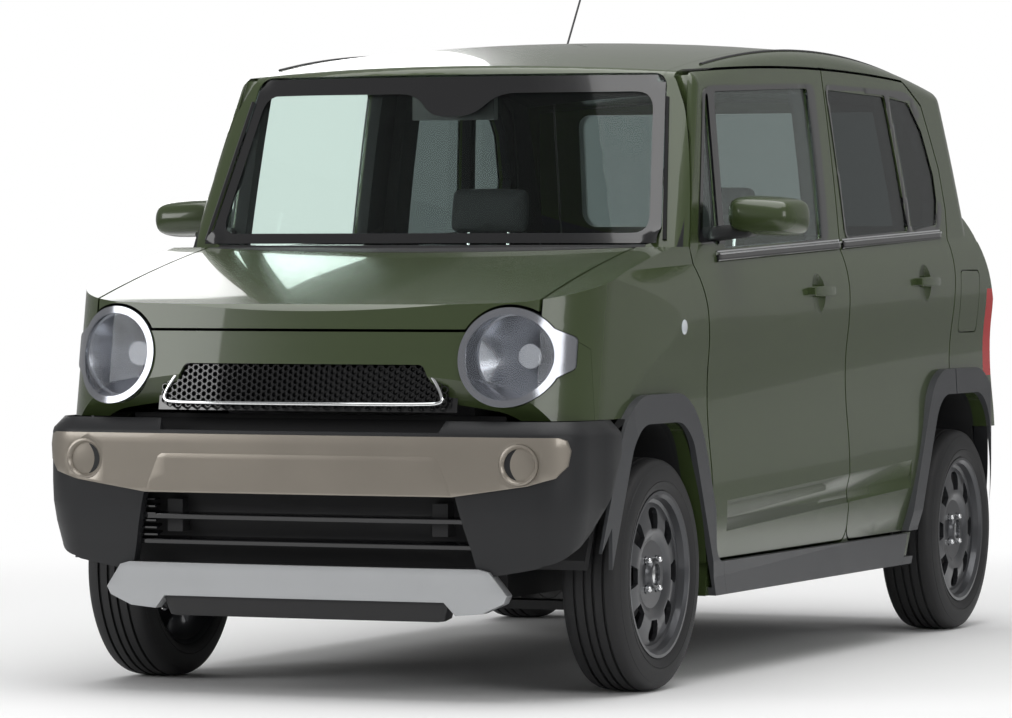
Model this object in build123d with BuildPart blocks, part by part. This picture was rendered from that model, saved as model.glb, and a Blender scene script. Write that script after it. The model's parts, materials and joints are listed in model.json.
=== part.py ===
from build123d import *
from collections import namedtuple
from math import cos, hypot, radians, sin, tan
import os

os.makedirs("parts", exist_ok=True)

# Frame: X to the car's left, the front faces -Y, Z up, origin on the ground below the centre
# of the length and width. Millimetres.

# Overall driving dimensions
LENGTH = 3395.0
TRIM_WIDTH = 1475.0
HEIGHT = 1665.0
WHEELBASE = 2425.0
FRONT_OVERHANG = 590.0
NOSE_Y = -LENGTH / 2
TAIL_Y = LENGTH / 2
FRONT_AXLE_Y = NOSE_Y + FRONT_OVERHANG
REAR_AXLE_Y = FRONT_AXLE_Y + WHEELBASE
TRIM_X = TRIM_WIDTH / 2

# Wheels
TYRE_RADIUS = 289.5
TYRE_WIDTH = 165.0
RIM_RADIUS = 200.0
RIM_FLANGE_RADIUS = 207.0
FRONT_TRACK = 1295.0
REAR_TRACK = 1290.0
WHEEL_Z = TYRE_RADIUS
HUB_BORE_RADIUS = 28.0
HUB_CLEARANCE = 0.05

# Walls and running gaps
WALL = 45.0
PILLAR_DEPTH = 85.0
GAP = 7.0
GLASS = 5.0
GLASS_SET_BACK = 4.0
SEAT_GAP = 0.3

# Side section, measured at the line between the doors: half width at each height
SECTION_Y = FRONT_AXLE_Y + 1440.0
SECTION_RISE = 0.035
SHOULDER_X, SHOULDER_Z = 727.0, 965.0
WAIST_X, WAIST_Z = 713.0, 760.0
HIP_X, HIP_Z = 727.0, 490.0
SILL_TOP_X, SILL_TOP_Z = 711.0, 300.0
SILL_FOOT_X = 704.0
BELT_X, BELT_Z = 698.0, 1097.0
DRIP_X, DRIP_DROP = 641.0, 79.0
DRIP_Z = HEIGHT - DRIP_DROP
ROOF_LEAN_IN = 34.0
BASE_Z = 150.0

# Roof
ROOF_RADIUS = 6030.0
ROOF_APEX_Y = FRONT_AXLE_Y + 1467.5
ROOF_EDGE_RADIUS = 45.0
PILLAR_EDGE_RADIUS = 38.0

# Nose, measured at the lower edge of the painted nose panel
NOSE_PANEL_Z = 681.0
NOSE_SET_BACK = 13.5
NOSE_LEAN = 0.18
NOSE_HALF_FLAT = 500.0
NOSE_BOW = 30.0
NOSE_CORNER = (704.0, 257.5)
NOSE_SIDE = (731.0, 810.0)

# Bonnet profile
BONNET_GAP_Z = 897.0
BONNET_BREAK_Y = NOSE_Y + 80.0
BONNET_BREAK_Z = 960.0
BONNET_REAR_Y = FRONT_AXLE_Y + 160.0
BONNET_REAR_Z = 1100.0
BONNET_CROWN = 8.0
BONNET_HALF_WIDTH = 595.0
BONNET_THICKNESS = 30.0
BONNET_EDGE_RADIUS = 28.0

# Windscreen, measured at its foot
SCREEN_FOOT_Y = FRONT_AXLE_Y + 150.0
SCREEN_FOOT_Z = 1098.0
SCREEN_LEAN = 0.497
SCREEN_BOW_RADIUS = 2460.0
SCREEN_FOOT_HALF = 634.0
SCREEN_HEAD_HALF = 572.0
SCREEN_HEAD_Z = HEIGHT - 118.0
SCREEN_CORNER_RADIUS = 40.0

# Tail: the glazed upper part, the shoulder under it and the lower part
TAIL_UPPER = (TAIL_Y - 147.5, 1130.0, 0.33)
TAIL_SHOULDER = (TAIL_Y - 47.5, 955.0, 0.556)
TAIL_LOWER = (TAIL_Y - 37.5, 620.0, 0.03)
TAIL_BOW_RADIUS = 7000.0
TAIL_UPPER_CORNER = 110.0
TAIL_LOWER_CORNER = 80.0

# Side lines of the doors
DOOR_FOOT_Z = 308.0
DOOR_LINE_Y = FRONT_AXLE_Y + 1425.0
DOOR_HEAD_Z = HEIGHT - 81.0
DOOR_HEAD_Y = FRONT_AXLE_Y + 1507.5
DOOR_HEAD_CURVE = 3.3e-5
FRONT_DOOR_FOOT_Y = FRONT_AXLE_Y + 371.0
FRONT_DOOR_MID = (FRONT_AXLE_Y + 360.0, 700.0)
FRONT_DOOR_BELT = (FRONT_AXLE_Y + 284.0, 1097.0)
FRONT_DOOR_HEAD_Y = FRONT_AXLE_Y + 452.0
REAR_DOOR_HEAD_Y = REAR_AXLE_Y - 315.0
REAR_DOOR_BACK = (
    (REAR_AXLE_Y - 180.0, HEIGHT - 158.0),
    (REAR_AXLE_Y - 85.0, HEIGHT - 335.0),
    (REAR_AXLE_Y - 58.0, HEIGHT - 450.0),
    (REAR_AXLE_Y - 90.0, 790.0),
)
REAR_DOOR_BACK_RADIUS = 60.0
DOOR_FOOT_RADIUS = 40.0
DOOR_INNER_X = 590.0
DOOR_HINGE_TILT = 3.5

# Wheel openings, seen from the side: half widths at the foot and the head, before rounding
ARCH_FOOT_Z = 290.0
ARCH = namedtuple("ARCH", "foot_front foot_rear head_front head_rear head_z")
FRONT_ARCH = ARCH(345.0, 345.0, 178.0, 178.0, 664.0)
REAR_ARCH = ARCH(435.0, 318.0, 235.0, 198.0, 684.0)
ARCH_RADIUS = 130.0
ARCH_TRIM_WIDTH = 72.0
ARCH_INNER_X = 400.0

# Windows, seen from the side; the head line follows the drip line
WINDOW_FOOT_RISE = 0.0355
WINDOW_FOOT_Z = 1079.0
WINDOW_HEAD_DROP = 52.0
WINDOW_RADIUS = 14.0
SASH = namedtuple("SASH", "foot_front foot_rear head_rear head_front")
FRONT_QUARTER = (
    (FRONT_AXLE_Y + 368.0, 1128.0),
    (FRONT_AXLE_Y + 488.0, 1104.0),
    (FRONT_AXLE_Y + 519.0, HEIGHT - 170.0),
    (FRONT_AXLE_Y + 502.0, HEIGHT - 170.0),
)
QUARTER_RADIUS = 6.0
FRONT_WINDOW = SASH(FRONT_AXLE_Y + 527.0, FRONT_AXLE_Y + 1280.0, FRONT_AXLE_Y + 1288.0, FRONT_AXLE_Y + 566.0)
REAR_WINDOW = SASH(FRONT_AXLE_Y + 1488.0, REAR_AXLE_Y - 408.0, REAR_AXLE_Y - 495.0, FRONT_AXLE_Y + 1453.0)
REAR_QUARTER_FRONT = (REAR_AXLE_Y - 372.0, REAR_AXLE_Y - 459.0)
REAR_QUARTER_BACK = (
    (REAR_AXLE_Y - 290.0, HEIGHT - 150.0),
    (REAR_AXLE_Y - 200.0, HEIGHT - 230.0),
    (REAR_AXLE_Y - 135.0, HEIGHT - 355.0),
    (REAR_AXLE_Y - 128.0, HEIGHT - 425.0),
    (REAR_AXLE_Y - 150.0, HEIGHT - 496.0),
)

# Pillars, sills, roof split, tailgate, lamps and flap
SEAM = 0.8
PILLAR_FOOT_Z = BONNET_REAR_Z
ROOF_HALF = 565.0
B_PILLAR_HALF = 50.0
B_PILLAR_HEAD = 8.0
SILL_HEAD_Z = DOOR_FOOT_Z - GAP
SILL_FOOT_Z = 215.0
SILL_DEPTH = 101.0
SILL_INNER_X = 608.0
SILL_END = 10.0
TAILGATE_SIDE = ((592.0, 700.0), (592.0, 1100.0), (560.0, HEIGHT - 115.0))
TAILGATE_FOOT_Z = 590.0
TAILGATE_FRONT_Y = TAIL_Y - 362.0
REAR_BUMPER_HEAD_Z = 580.0
REAR_GLASS = ((520.0, 1168.0), (492.0, HEIGHT - 165.0))
TAIL_LAMP_INNER_X = 600.0
TAIL_LAMP_Z = (730.0, 985.0)
TAIL_LAMP_FRONT_Y = TAIL_Y - 150.0
FLAP_Y = (REAR_AXLE_Y - 15.0, REAR_AXLE_Y + 155.0)
FLAP_Z = (861.0, 1037.0)
FLAP_RADIUS = 20.0
FLAP_POCKET = 18.0
FLAP_THICKNESS = 8.0
COWL_WIDTH = 70.0
SCREEN_GLASS_FOOT_Z = 1106.0
NOSE_SPLIT_Y = NOSE_Y + 217.0
NOSE_REACH = 400.0

# Headlamps
HEADLAMP_X = 528.0
HEADLAMP_Z = 834.0
HEADLAMP_RADIUS = 120.0
HEADLAMP_REAR_Y = NOSE_Y + 250.0
HEADLAMP_PROUD = 6.0
HEADLAMP_WALL = 4.0
HEADLAMP_DEPTH = 80.0
REFLECTOR_RADIUS = 100.0
REFLECTOR_FOOT_RADIUS = 30.0
LENS_RADIUS = 103.0
LENS_THICKNESS = 4.0
LENS_CROWN = 14.0
TURN_LAMP_X = 668.0
TURN_LAMP_Z = (805.0, 881.0)
TURN_LAMP_RADIUS = 14.0
TURN_LAMP_DEPTH = 30.0

# Upper grille, seen from the front
GRILLE_FOOT_HALF, GRILLE_HEAD_HALF = 367.0, 318.0
GRILLE_FOOT_Z, GRILLE_HEAD_Z = 719.0, 815.0
GRILLE_RADIUS = 18.0
GRILLE_SET_BACK = 10.0
GRILLE_DEPTH = 12.0
GRILLE_CELL = 19.0
GRILLE_RIB = 5.0
GRILLE_COLUMNS, GRILLE_ROWS = 17, 3
GRILLE_FRAME = 9.0

# Bumpers: plan of each from its centre outwards, and what is cut into the front one
BUMPER = namedtuple("BUMPER", "centre_y facing half_flat bow corner_x corner_back side_x side_back")
FRONT_BUMPER = BUMPER(NOSE_Y + 7.5, -1, 560.0, 23.5, 716.0, 188.0, 722.0, 330.0)
REAR_BUMPER = BUMPER(TAIL_Y, 1, 600.0, 25.7, 728.0, 160.0, 732.0, 220.0)
BUMPER_WALL = 40.0
BUMPER_FOOT_Z = 236.0
BAND_PROUD = 7.5
BAND_OUTLINE = ((412.0, 500.0), (600.0, 540.0), (655.0, 592.0), (655.0, 642.0))
SKID_PROUD = 6.0
SKID_OUTLINE = ((500.0, 244.0), (532.0, 262.0), (492.0, 320.0))
SLOT_HALF = (395.0, 375.0)
SLOT_Z = (655.0, 676.0)
LOWER_GRILLE_HALF = (462.0, 412.0)
LOWER_GRILLE_Z = (322.0, 498.0)
SLAT_Z = (345.0, 375.0, 407.0, 438.0, 469.0)
SLAT_HEIGHT = 8.0
SLAT_SET_BACK = 12.0
SLAT_DEPTH = 22.0
FOG_X, FOG_Z, FOG_RADIUS = 580.0, 578.0, 50.0
FOG_DEPTH = 14.0
BUMPER_CORNER_RISE = ((-1620.0 - NOSE_Y, 236.0), (-1512.0 - NOSE_Y, 348.0), (-1440.0 - NOSE_Y, 420.0))

LIP_SET_BACK, LIP_THICKNESS = 22.0, 16.0
LIP_FOOT_Z = 194.0
LIP_HALF = 380.0
FOG_SET_BACK = 60.0
LENS_REAR_Y = NOSE_Y + 140.0
LENS_PROUD = 3.0

# Doors and mirrors
DOOR_SKIN = 20.0
DOOR_STEP = 8.0
MIRROR_X = (708.0, 922.0)
MIRROR_Y = FRONT_AXLE_Y + 500.0
MIRROR_DEPTH = 90.0
MIRROR_Z = (1121.0, 1240.0)
MIRROR_RADIUS = 28.0
MIRROR_FOOT = 35.0
MIRROR_FOOT_Z = 1075.0

# Claddings
TRIM_PROUD = 20.0
TRIM_INNER_X = 600.0

# Underbody
FLOOR = 30.0
FLOOR_Z = 235.0
FLOOR_HALF = 607.0
TOE_FOOT_Y = FRONT_AXLE_Y + 372.0
REAR_FLOOR_Y = FRONT_AXLE_Y + 1667.0
REAR_FLOOR_Z = 350.0
TAIL_PANEL_Y = TAIL_Y - 100.0
AXLE_GATE = 70.0
TAIL_PANEL = 30.0
TAIL_PANEL_HALF = 566.0
TAIL_PANEL_Z = (250.0, 583.0)
BULKHEAD_Y = FRONT_AXLE_Y + 165.0
BULKHEAD = 20.0
BULKHEAD_FOOT_Z = 700.0
HOUSE_WALL = 22.0
HOUSE_FOOT_Z = 235.0
HOUSE_FRONT_Y = REAR_AXLE_Y - 470.0
FRONT_HOUSE_X = 376.0
REAR_HOUSE_X = 500.0
RAIL_X = (335.0, 376.0)
RAIL_Z = (400.0, 480.0)
RAIL_FRONT_Y = NOSE_Y + 70.0
BOARD_HALF, BOARD_THICKNESS = 470.0, 6.0
BOARD_FRONT_Y = REAR_AXLE_Y - 287.0

# Wheels: half profiles as distance outboard from the wheel's centre, and radius
RIM_PROFILE = (
    (-64.0, RIM_FLANGE_RADIUS),
    (64.0, RIM_FLANGE_RADIUS),
    (64.0, 199.0),
    (30.0, 199.0),
    (38.0, 165.0),
    (52.0, 110.0),
    (46.0, 80.0),
    (30.0, 62.0),
    (30.0, HUB_BORE_RADIUS),
    (20.0, HUB_BORE_RADIUS),
    (20.0, 62.0),
    (36.0, 84.0),
    (42.0, 110.0),
    (28.0, 160.0),
    (18.0, 192.0),
    (18.0, 199.0),
    (-64.0, 199.0),
)
RIM_HOLES = 8
RIM_HOLE_CIRCLE = 140.0
RIM_HOLE_RADIUS = 17.0
TYRE_PROFILE = (
    (-64.0, RIM_FLANGE_RADIUS + SEAT_GAP),
    (64.0, RIM_FLANGE_RADIUS + SEAT_GAP),
    (TYRE_WIDTH / 2, 248.0),
    (66.0, TYRE_RADIUS),
    (-66.0, TYRE_RADIUS),
    (-TYRE_WIDTH / 2, 248.0),
)

# Knuckles, suspension and rear axle
KINGPIN_X = FRONT_TRACK / 2 - 17.5
KNUCKLE_INNER = 58.0
KNUCKLE_HALF = 36.0
KNUCKLE_Z = (226.0, 400.0)
SPINDLE_REACH = 34.0
DISC_OUTER, DISC_WIDTH = 8.0, 18.0
DISC_RADIUS = 118.0
HUB_RADIUS = 58.0
HUB_FACE = 14.0
CALLIPER_Y = (80.0, 140.0)
CALLIPER_HALF = 50.0
STRUT_X = 515.0
STRUT_RADIUS = 22.0
STRUT_Z = (430.0, FRONT_ARCH.head_z)
ARM_REACH = 580.0
BALL_JOINT_HALF = 15.0
BALL_JOINT_X = (560.0, 602.0)
ARM_HALF = 38.0
ARM_Z = (198.0, 220.0)
BEAM_RADIUS = 30.0
DRUM_RADIUS = 105.0
SPRING_X = 430.0
SPRING_RADIUS = 45.0
TRAILING_ARM_Y = REAR_AXLE_Y - 420.0
TRAILING_ARM_Z = (265.0, 315.0)

# Engine, exhaust and tank
ENGINE_HALF = 334.7
ENGINE_Y = (FRONT_AXLE_Y - 260.0, FRONT_AXLE_Y + 110.0)
ENGINE_Z = (250.0, 790.0)
PIPE_X = -300.0
PIPE_RADIUS = 20.0
MUFFLER = (150.0, 0.0)
MUFFLER_Y = (REAR_AXLE_Y + 130.0, REAR_AXLE_Y + 270.0)
MUFFLER_Z = (198.0, 325.0)
TANK_HALF = 250.0
TANK_Y = (REAR_FLOOR_Y + 45.0, REAR_AXLE_Y - 360.0)
TANK_Z = 205.0

# Cabin
DASH_HALF = 640.0
DASH_Z = (800.0, 1048.0)
DASH_FACE = (
    (FRONT_AXLE_Y + 360.0, 760.0),
    (FRONT_AXLE_Y + 470.0, 860.0),
    (FRONT_AXLE_Y + 470.0, 985.0),
    (FRONT_AXLE_Y + 380.0, 1048.0),
)
WHEEL_CENTRE = (-335.0, FRONT_AXLE_Y + 640.0, 930.0)
COLUMN_LEAN = 27.0
COLUMN_REACH = 240.0
COLUMN_RADIUS = 34.0
STEERING_RADIUS = 172.0
STEERING_RIM = 13.0
STEERING_SPOKE = 46.0
STEERING_HUB = 46.0
STEERING_HUB_DEPTH = 40.0
SEAT_X = (95.0, 575.0)
SEAT_BASE_Y = (FRONT_AXLE_Y + 860.0, FRONT_AXLE_Y + 1230.0)
SEAT_BASE_Z = 450.0
FRONT_SEAT = (
    ((-345.0, 450.0), (130.0, 430.0), (130.0, 570.0), (-330.0, 585.0), (-365.0, 545.0)),
    ((100.0, 500.0), (215.0, 430.0), (345.0, 1080.0), (325.0, 1120.0), (255.0, 1120.0)),
)
FRONT_HEADREST = ((262.0, 1119.0), (285.0, 1285.0), (365.0, 1275.0), (350.0, 1119.0))
HEADREST_X = (210.0, 460.0)
REAR_SEAT_HALF = 495.0
REAR_SEAT = (
    ((565.0, 380.3), (980.0, 380.3), (980.0, 545.0), (570.0, 570.0), (545.0, 540.0)),
    ((930.0, 500.0), (1020.0, 480.0), (1180.0, 1080.0), (1080.0, 1100.0)),
)
ROOM_MIRROR_Y = FRONT_AXLE_Y + 385.0
ROOM_MIRROR_Z = (1430.0, 1495.0)
ROOM_MIRROR_HALF = 115.0
ROOM_MIRROR_STALK = 14.0

# Antenna
ANTENNA_FOOT = (-490.0, REAR_AXLE_Y - 135.0)
ANTENNA_LEAN = 36.5
ANTENNA_LENGTH = 400.0
ANTENNA_RADIUS = 3.0
ANTENNA_BASE = (16.0, 14.0)



def side_prism(points, x_from, x_to, radius=0.0):
    """Solid across the car between two planes, from an outline of (y, z) points seen from the side."""
    with BuildPart() as prism:
        with BuildSketch(Plane.YZ.offset(x_from)):
            with BuildLine():
                Polyline(*points, close=True)
            make_face()
            if radius:
                fillet(vertices(), radius)
        extrude(amount=x_to - x_from)
    return prism.part


def front_prism(points, y_from, y_to, radius=0.0):
    """Solid along the car between two planes, from an outline of (x, z) points seen from the front."""
    with BuildPart() as prism:
        with BuildSketch(Plane.XZ.offset(-y_to)):
            with BuildLine():
                Polyline(*points, close=True)
            make_face()
            if radius:
                fillet(vertices(), radius)
        extrude(amount=y_to - y_from)
    return prism.part


def plan_prism(points, z_from, z_to, radius=0.0):
    """Solid between two levels, from an outline of (x, y) points seen from above."""
    with BuildPart() as prism:
        with BuildSketch(Plane.XY.offset(z_from)):
            with BuildLine():
                Polyline(*points, close=True)
            make_face()
            if radius:
                fillet(vertices(), radius)
        extrude(amount=z_to - z_from)
    return prism.part


def section_run(inset):
    """Side section of the body, moved inwards and run along the whole length."""
    with BuildPart() as run:
        with BuildSketch(Plane.XZ.offset(-SECTION_Y)):
            with BuildLine():
                hip = (HIP_X - inset, HIP_Z)
                waist = (WAIST_X - inset, WAIST_Z)
                shoulder = (SHOULDER_X - inset, SHOULDER_Z)
                belt = (BELT_X - inset, BELT_Z)
                drip = (DRIP_X - inset, DRIP_Z)
                sill = (SILL_TOP_X - inset, SILL_TOP_Z)
                waist_to_hip = ((WAIST_X + HIP_X) / 2 - inset, (WAIST_Z + HIP_Z) / 2)
                shoulder_to_waist = ((SHOULDER_X + WAIST_X) / 2 - inset, (SHOULDER_Z + WAIST_Z) / 2)
                top_z = HEIGHT + 3 * WALL
                base_z = BASE_Z - WALL + inset
                Polyline((0, base_z), (SILL_FOOT_X - inset, base_z), sill)
                TangentArc(hip, sill, tangent=(0, -1))
                TangentArc(hip, waist_to_hip, tangent=(0, 1))
                TangentArc(waist, waist_to_hip, tangent=(0, -1))
                TangentArc(waist, shoulder_to_waist, tangent=(0, 1))
                TangentArc(shoulder, shoulder_to_waist, tangent=(0, -1))
                TangentArc(shoulder, belt, tangent=(0, 1))
                head = (DRIP_X - ROOF_LEAN_IN - inset, top_z)
                ThreePointArc(belt, drip, head)
                Line(head, (0, top_z))
                mirror(about=Plane.YZ)
            make_face()
        extrude(amount=LENGTH, dir=(0, 1, SECTION_RISE), both=True)
    return run.part


def bowed_prism(centre_y, centre_z, lean, bow_radius, facing, inset, z_from, z_to):
    """Solid behind a surface bowed in plan and leaning away from its outer side as it rises."""
    half = TRIM_X + WALL
    depth = LENGTH
    sag = bow_radius - (bow_radius**2 - half**2) ** 0.5
    shift = inset * hypot(1, lean)
    foot_y = centre_y + facing * (lean * (centre_z - z_from) - shift)
    with BuildPart() as prism:
        with BuildSketch(Plane.XY.offset(z_from)):
            with BuildLine():
                side_y = foot_y - facing * sag
                ThreePointArc((-half, side_y), (0, foot_y), (half, side_y))
                far_y = foot_y - facing * depth
                Polyline((half, side_y), (half, far_y), (-half, far_y), (-half, side_y))
            make_face()
        height = (z_to - z_from) * hypot(1, lean)
        extrude(amount=height, dir=(0, -facing * lean, 1))
    return prism.part


def nose_prism(inset, z_from, z_to):
    """Solid behind the bowed nose and its rounded front corners."""
    with BuildPart() as prism:
        with BuildSketch(Plane.XY.offset(z_from)):
            with BuildLine():
                base_y = NOSE_Y - NOSE_LEAN * (NOSE_PANEL_Z - z_from)
                front_y = base_y + NOSE_SET_BACK
                bow = TangentArc((0, front_y), (NOSE_HALF_FLAT, front_y + NOSE_BOW), tangent=(1, 0))
                corner_end = (NOSE_CORNER[0], base_y + NOSE_CORNER[1])
                corner = TangentArc(bow @ 1, corner_end, tangent=bow % 1)
                side_end = (NOSE_SIDE[0], base_y + NOSE_SIDE[1])
                side = TangentArc(corner @ 1, side_end, tangent=corner % 1)
                Polyline(side @ 1, (NOSE_SIDE[0], TAIL_Y), (0, TAIL_Y))
                mirror(about=Plane.YZ)
            make_face()
            if inset:
                offset(amount=-inset, kind=Kind.INTERSECTION)
        height = (z_to - z_from) * hypot(1, NOSE_LEAN)
        extrude(amount=height, dir=(0, NOSE_LEAN, 1))
    return prism.part


def bonnet_run(inset):
    """Everything below the bonnet line and, behind it, below the belt."""
    with BuildPart() as run:
        with BuildSketch(Plane.YZ.offset(-TRIM_WIDTH)):
            with BuildLine():
                gap_y = NOSE_Y + NOSE_SET_BACK + NOSE_LEAN * (BONNET_GAP_Z - NOSE_PANEL_Z) - BONNET_THICKNESS
                break_top = (BONNET_BREAK_Y, BONNET_BREAK_Z)
                rear = (BONNET_REAR_Y, BONNET_REAR_Z)
                middle_y = (BONNET_BREAK_Y + BONNET_REAR_Y) / 2
                middle = (middle_y, (BONNET_BREAK_Z + BONNET_REAR_Z) / 2 + BONNET_CROWN)
                nose_round = (BONNET_BREAK_Y - 22, (BONNET_BREAK_Z + BONNET_GAP_Z) / 2 + 12)
                ThreePointArc((gap_y, BONNET_GAP_Z), nose_round, break_top)
                ThreePointArc(break_top, middle, rear)
                belt_z = BONNET_REAR_Z
                Polyline(rear, (TAIL_Y + WALL, belt_z + 24), (TAIL_Y + WALL, BASE_Z), (gap_y, BASE_Z),
                         (gap_y, BONNET_GAP_Z))
            make_face()
            if inset:
                offset(amount=-inset, kind=Kind.INTERSECTION)
        extrude(amount=2 * TRIM_WIDTH)
    return run.part


def body_form(inset):
    """Closed form of the whole body, moved inwards, with nothing rounded."""
    deck_z = BONNET_REAR_Z + 2 * WALL
    inner_z = BONNET_REAR_Z - 4 * WALL
    roof_z = HEIGHT + WALL
    upper, shoulder, lower = TAIL_UPPER, TAIL_SHOULDER, TAIL_LOWER
    screen = bowed_prism(SCREEN_FOOT_Y, SCREEN_FOOT_Z, SCREEN_LEAN, SCREEN_BOW_RADIUS, -1, inset, inner_z, roof_z)
    tail_glazed = bowed_prism(upper[0], upper[1], upper[2], TAIL_BOW_RADIUS, 1, inset, inner_z, roof_z)
    tail_shoulder = bowed_prism(shoulder[0], shoulder[1], shoulder[2], TAIL_BOW_RADIUS, 1, inset, BASE_Z - WALL, deck_z)
    tail_lower = bowed_prism(lower[0], lower[1], lower[2], TAIL_BOW_RADIUS, 1, inset, BASE_Z - WALL, deck_z)
    nose = nose_prism(inset, BASE_Z - WALL, roof_z)
    bonnet = bonnet_run(inset)
    section = section_run(inset)
    with BuildPart() as glazed:
        add(screen)
        add(tail_glazed, mode=Mode.INTERSECT)
        with Locations((0, ROOF_APEX_Y, HEIGHT - ROOF_RADIUS)):
            Sphere(ROOF_RADIUS - inset, rotation=(90, 0, 0), mode=Mode.INTERSECT)
    with BuildPart() as form:
        add(bonnet)
        add(tail_shoulder, mode=Mode.INTERSECT)
        add(tail_lower, mode=Mode.INTERSECT)
        add(glazed.part)
        add(nose, mode=Mode.INTERSECT)
        add(section, mode=Mode.INTERSECT)
    return form.part


def rounded_form():
    """Outer form with its pillars and roof rim rounded."""
    form = body_form(0.0)
    rear_pillars = []
    screen_pillars = []
    for edge in form.edges():
        box = edge.bounding_box()
        if abs(edge.center().X) < SCREEN_HEAD_HALF or box.size.Z < 300 or box.max.Z < SCREEN_HEAD_Z - 60:
            continue
        if box.min.Y > REAR_AXLE_Y - 100:
            rear_pillars.append(edge)
        elif box.max.Y < FRONT_AXLE_Y + 600:
            screen_pillars.append(edge)
    form = form.fillet(TAIL_UPPER_CORNER, rear_pillars)
    form = form.fillet(PILLAR_EDGE_RADIUS, screen_pillars)
    rim = [edge for edge in form.edges() if edge.bounding_box().min.Z > SCREEN_HEAD_Z - 50]
    return form.fillet(ROOF_EDGE_RADIUS, rim)


def head_z(y):
    """Height of the drip line above the doors."""
    return DOOR_HEAD_Z - DOOR_HEAD_CURVE * (y - DOOR_HEAD_Y) ** 2


def window_foot_z(y):
    """Height of the window foot line, which rises towards the tail."""
    return WINDOW_FOOT_Z + WINDOW_FOOT_RISE * (y - FRONT_AXLE_Y)


def door_prism(front, grow):
    """Left door seen from the side, across the whole wall."""
    with BuildPart() as prism:
        with BuildSketch(Plane.YZ.offset(DOOR_INNER_X)):
            with BuildLine():
                if front:
                    start = FRONT_DOOR_HEAD_Y
                    end = DOOR_LINE_Y - GAP / 2
                    foot = (FRONT_DOOR_FOOT_Y, DOOR_FOOT_Z)
                    Polyline((end, head_z(end)), (end, DOOR_FOOT_Z), foot, FRONT_DOOR_MID)
                    TangentArc(FRONT_DOOR_MID, FRONT_DOOR_BELT, tangent=(0, 1))
                    Line(FRONT_DOOR_BELT, (start, head_z(start)))
                else:
                    start = DOOR_LINE_Y + GAP / 2
                    end = REAR_DOOR_HEAD_Y
                    foot_rear = (REAR_DOOR_BACK[-1][0], DOOR_FOOT_Z)
                    Polyline((end, head_z(end)), *REAR_DOOR_BACK, foot_rear, (start, DOOR_FOOT_Z),
                             (start, head_z(start)))
                middle = (start + end) / 2
                ThreePointArc((start, head_z(start)), (middle, head_z(middle)), (end, head_z(end)))
            make_face()
            fillet(vertices().group_by(Axis.Y)[0], DOOR_FOOT_RADIUS)
            if not front:
                fillet(vertices().group_by(Axis.X)[-1], REAR_DOOR_BACK_RADIUS)
            if grow:
                offset(amount=grow, kind=Kind.INTERSECTION)
        extrude(amount=TRIM_X + WALL - DOOR_INNER_X)
    return prism.part


def arch_prism(axle_y, arch, grow, x_from, x_to):
    """Wheel opening seen from the side, open downwards."""
    foot_front, foot_rear, head_front, head_rear, head = arch
    slope_front = (foot_front - head_front) / (head - ARCH_FOOT_Z)
    slope_rear = (foot_rear - head_rear) / (head - ARCH_FOOT_Z)
    drop = ARCH_FOOT_Z - BASE_Z + WALL
    with BuildPart() as prism:
        with BuildSketch(Plane.YZ.offset(x_from)):
            with BuildLine():
                Polyline(
                    (axle_y - foot_front - drop * slope_front, ARCH_FOOT_Z - drop),
                    (axle_y - head_front, head),
                    (axle_y + head_rear, head),
                    (axle_y + foot_rear + drop * slope_rear, ARCH_FOOT_Z - drop),
                    close=True,
                )
            make_face()
            fillet(vertices().group_by(Axis.Y)[-1], ARCH_RADIUS)
            if grow:
                offset(amount=grow)
        extrude(amount=x_to - x_from)
    return prism.part


def windscreen_prism(grow):
    """Windscreen opening seen from the front."""
    half_foot = SCREEN_FOOT_HALF + grow
    half_head = SCREEN_HEAD_HALF + grow
    foot, head = SCREEN_GLASS_FOOT_Z - grow, SCREEN_HEAD_Z + grow
    outline = [(-half_foot, foot), (half_foot, foot), (half_head, head), (-half_head, head)]
    return front_prism(outline, FRONT_AXLE_Y, FRONT_AXLE_Y + 500, SCREEN_CORNER_RADIUS)


def tailgate_prism(grow):
    """Tailgate seen from behind."""
    foot = TAILGATE_FOOT_Z - grow
    side = [(x + grow, z) for x, z in TAILGATE_SIDE[:-1]]
    side.append((TAILGATE_SIDE[-1][0] + grow, TAILGATE_SIDE[-1][1] + grow))
    far_side = [(-x, z) for x, z in reversed(side)]
    outline = [(side[0][0], foot), *side, *far_side, (-side[0][0], foot)]
    return front_prism(outline, TAILGATE_FRONT_Y - grow, TAIL_Y + WALL)


def both_sides(part):
    """The left piece with its mirror image."""
    with BuildPart() as pair:
        add(part)
        mirror(about=Plane.YZ)
    return pair.part


def cut_from(part, *tools):
    """Part less each of the tools."""
    with BuildPart() as rest:
        add(part)
        for tool in tools:
            add(tool, mode=Mode.SUBTRACT)
    return rest.part


def common(part, *tools):
    """What the part and all of the tools share."""
    with BuildPart() as rest:
        add(part)
        for tool in tools:
            add(tool, mode=Mode.INTERSECT)
    return rest.part


def box_between(x_from, x_to, y_from, y_to, z_from, z_to):
    """Box between two planes along each axis."""
    centre = ((x_from + x_to) / 2, (y_from + y_to) / 2, (z_from + z_to) / 2)
    with BuildPart() as block:
        with Locations(centre):
            Box(x_to - x_from, y_to - y_from, z_to - z_from)
    return block.part


def save(part, name):
    """Label a finished piece and write it."""
    part.label = name
    export_step(part, f"parts/{name}.step")
    print(name, round(part.volume), len(part.solids()))


def save_pair(part, name):
    """Write a left piece and its mirror image as two nodes."""
    save(part, f"{name}_left")
    save(mirror(part, about=Plane.YZ), f"{name}_right")


OUTER = rounded_form()
INNER = body_form(WALL)
SHELL = cut_from(OUTER, INNER)
FAR = LENGTH

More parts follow.
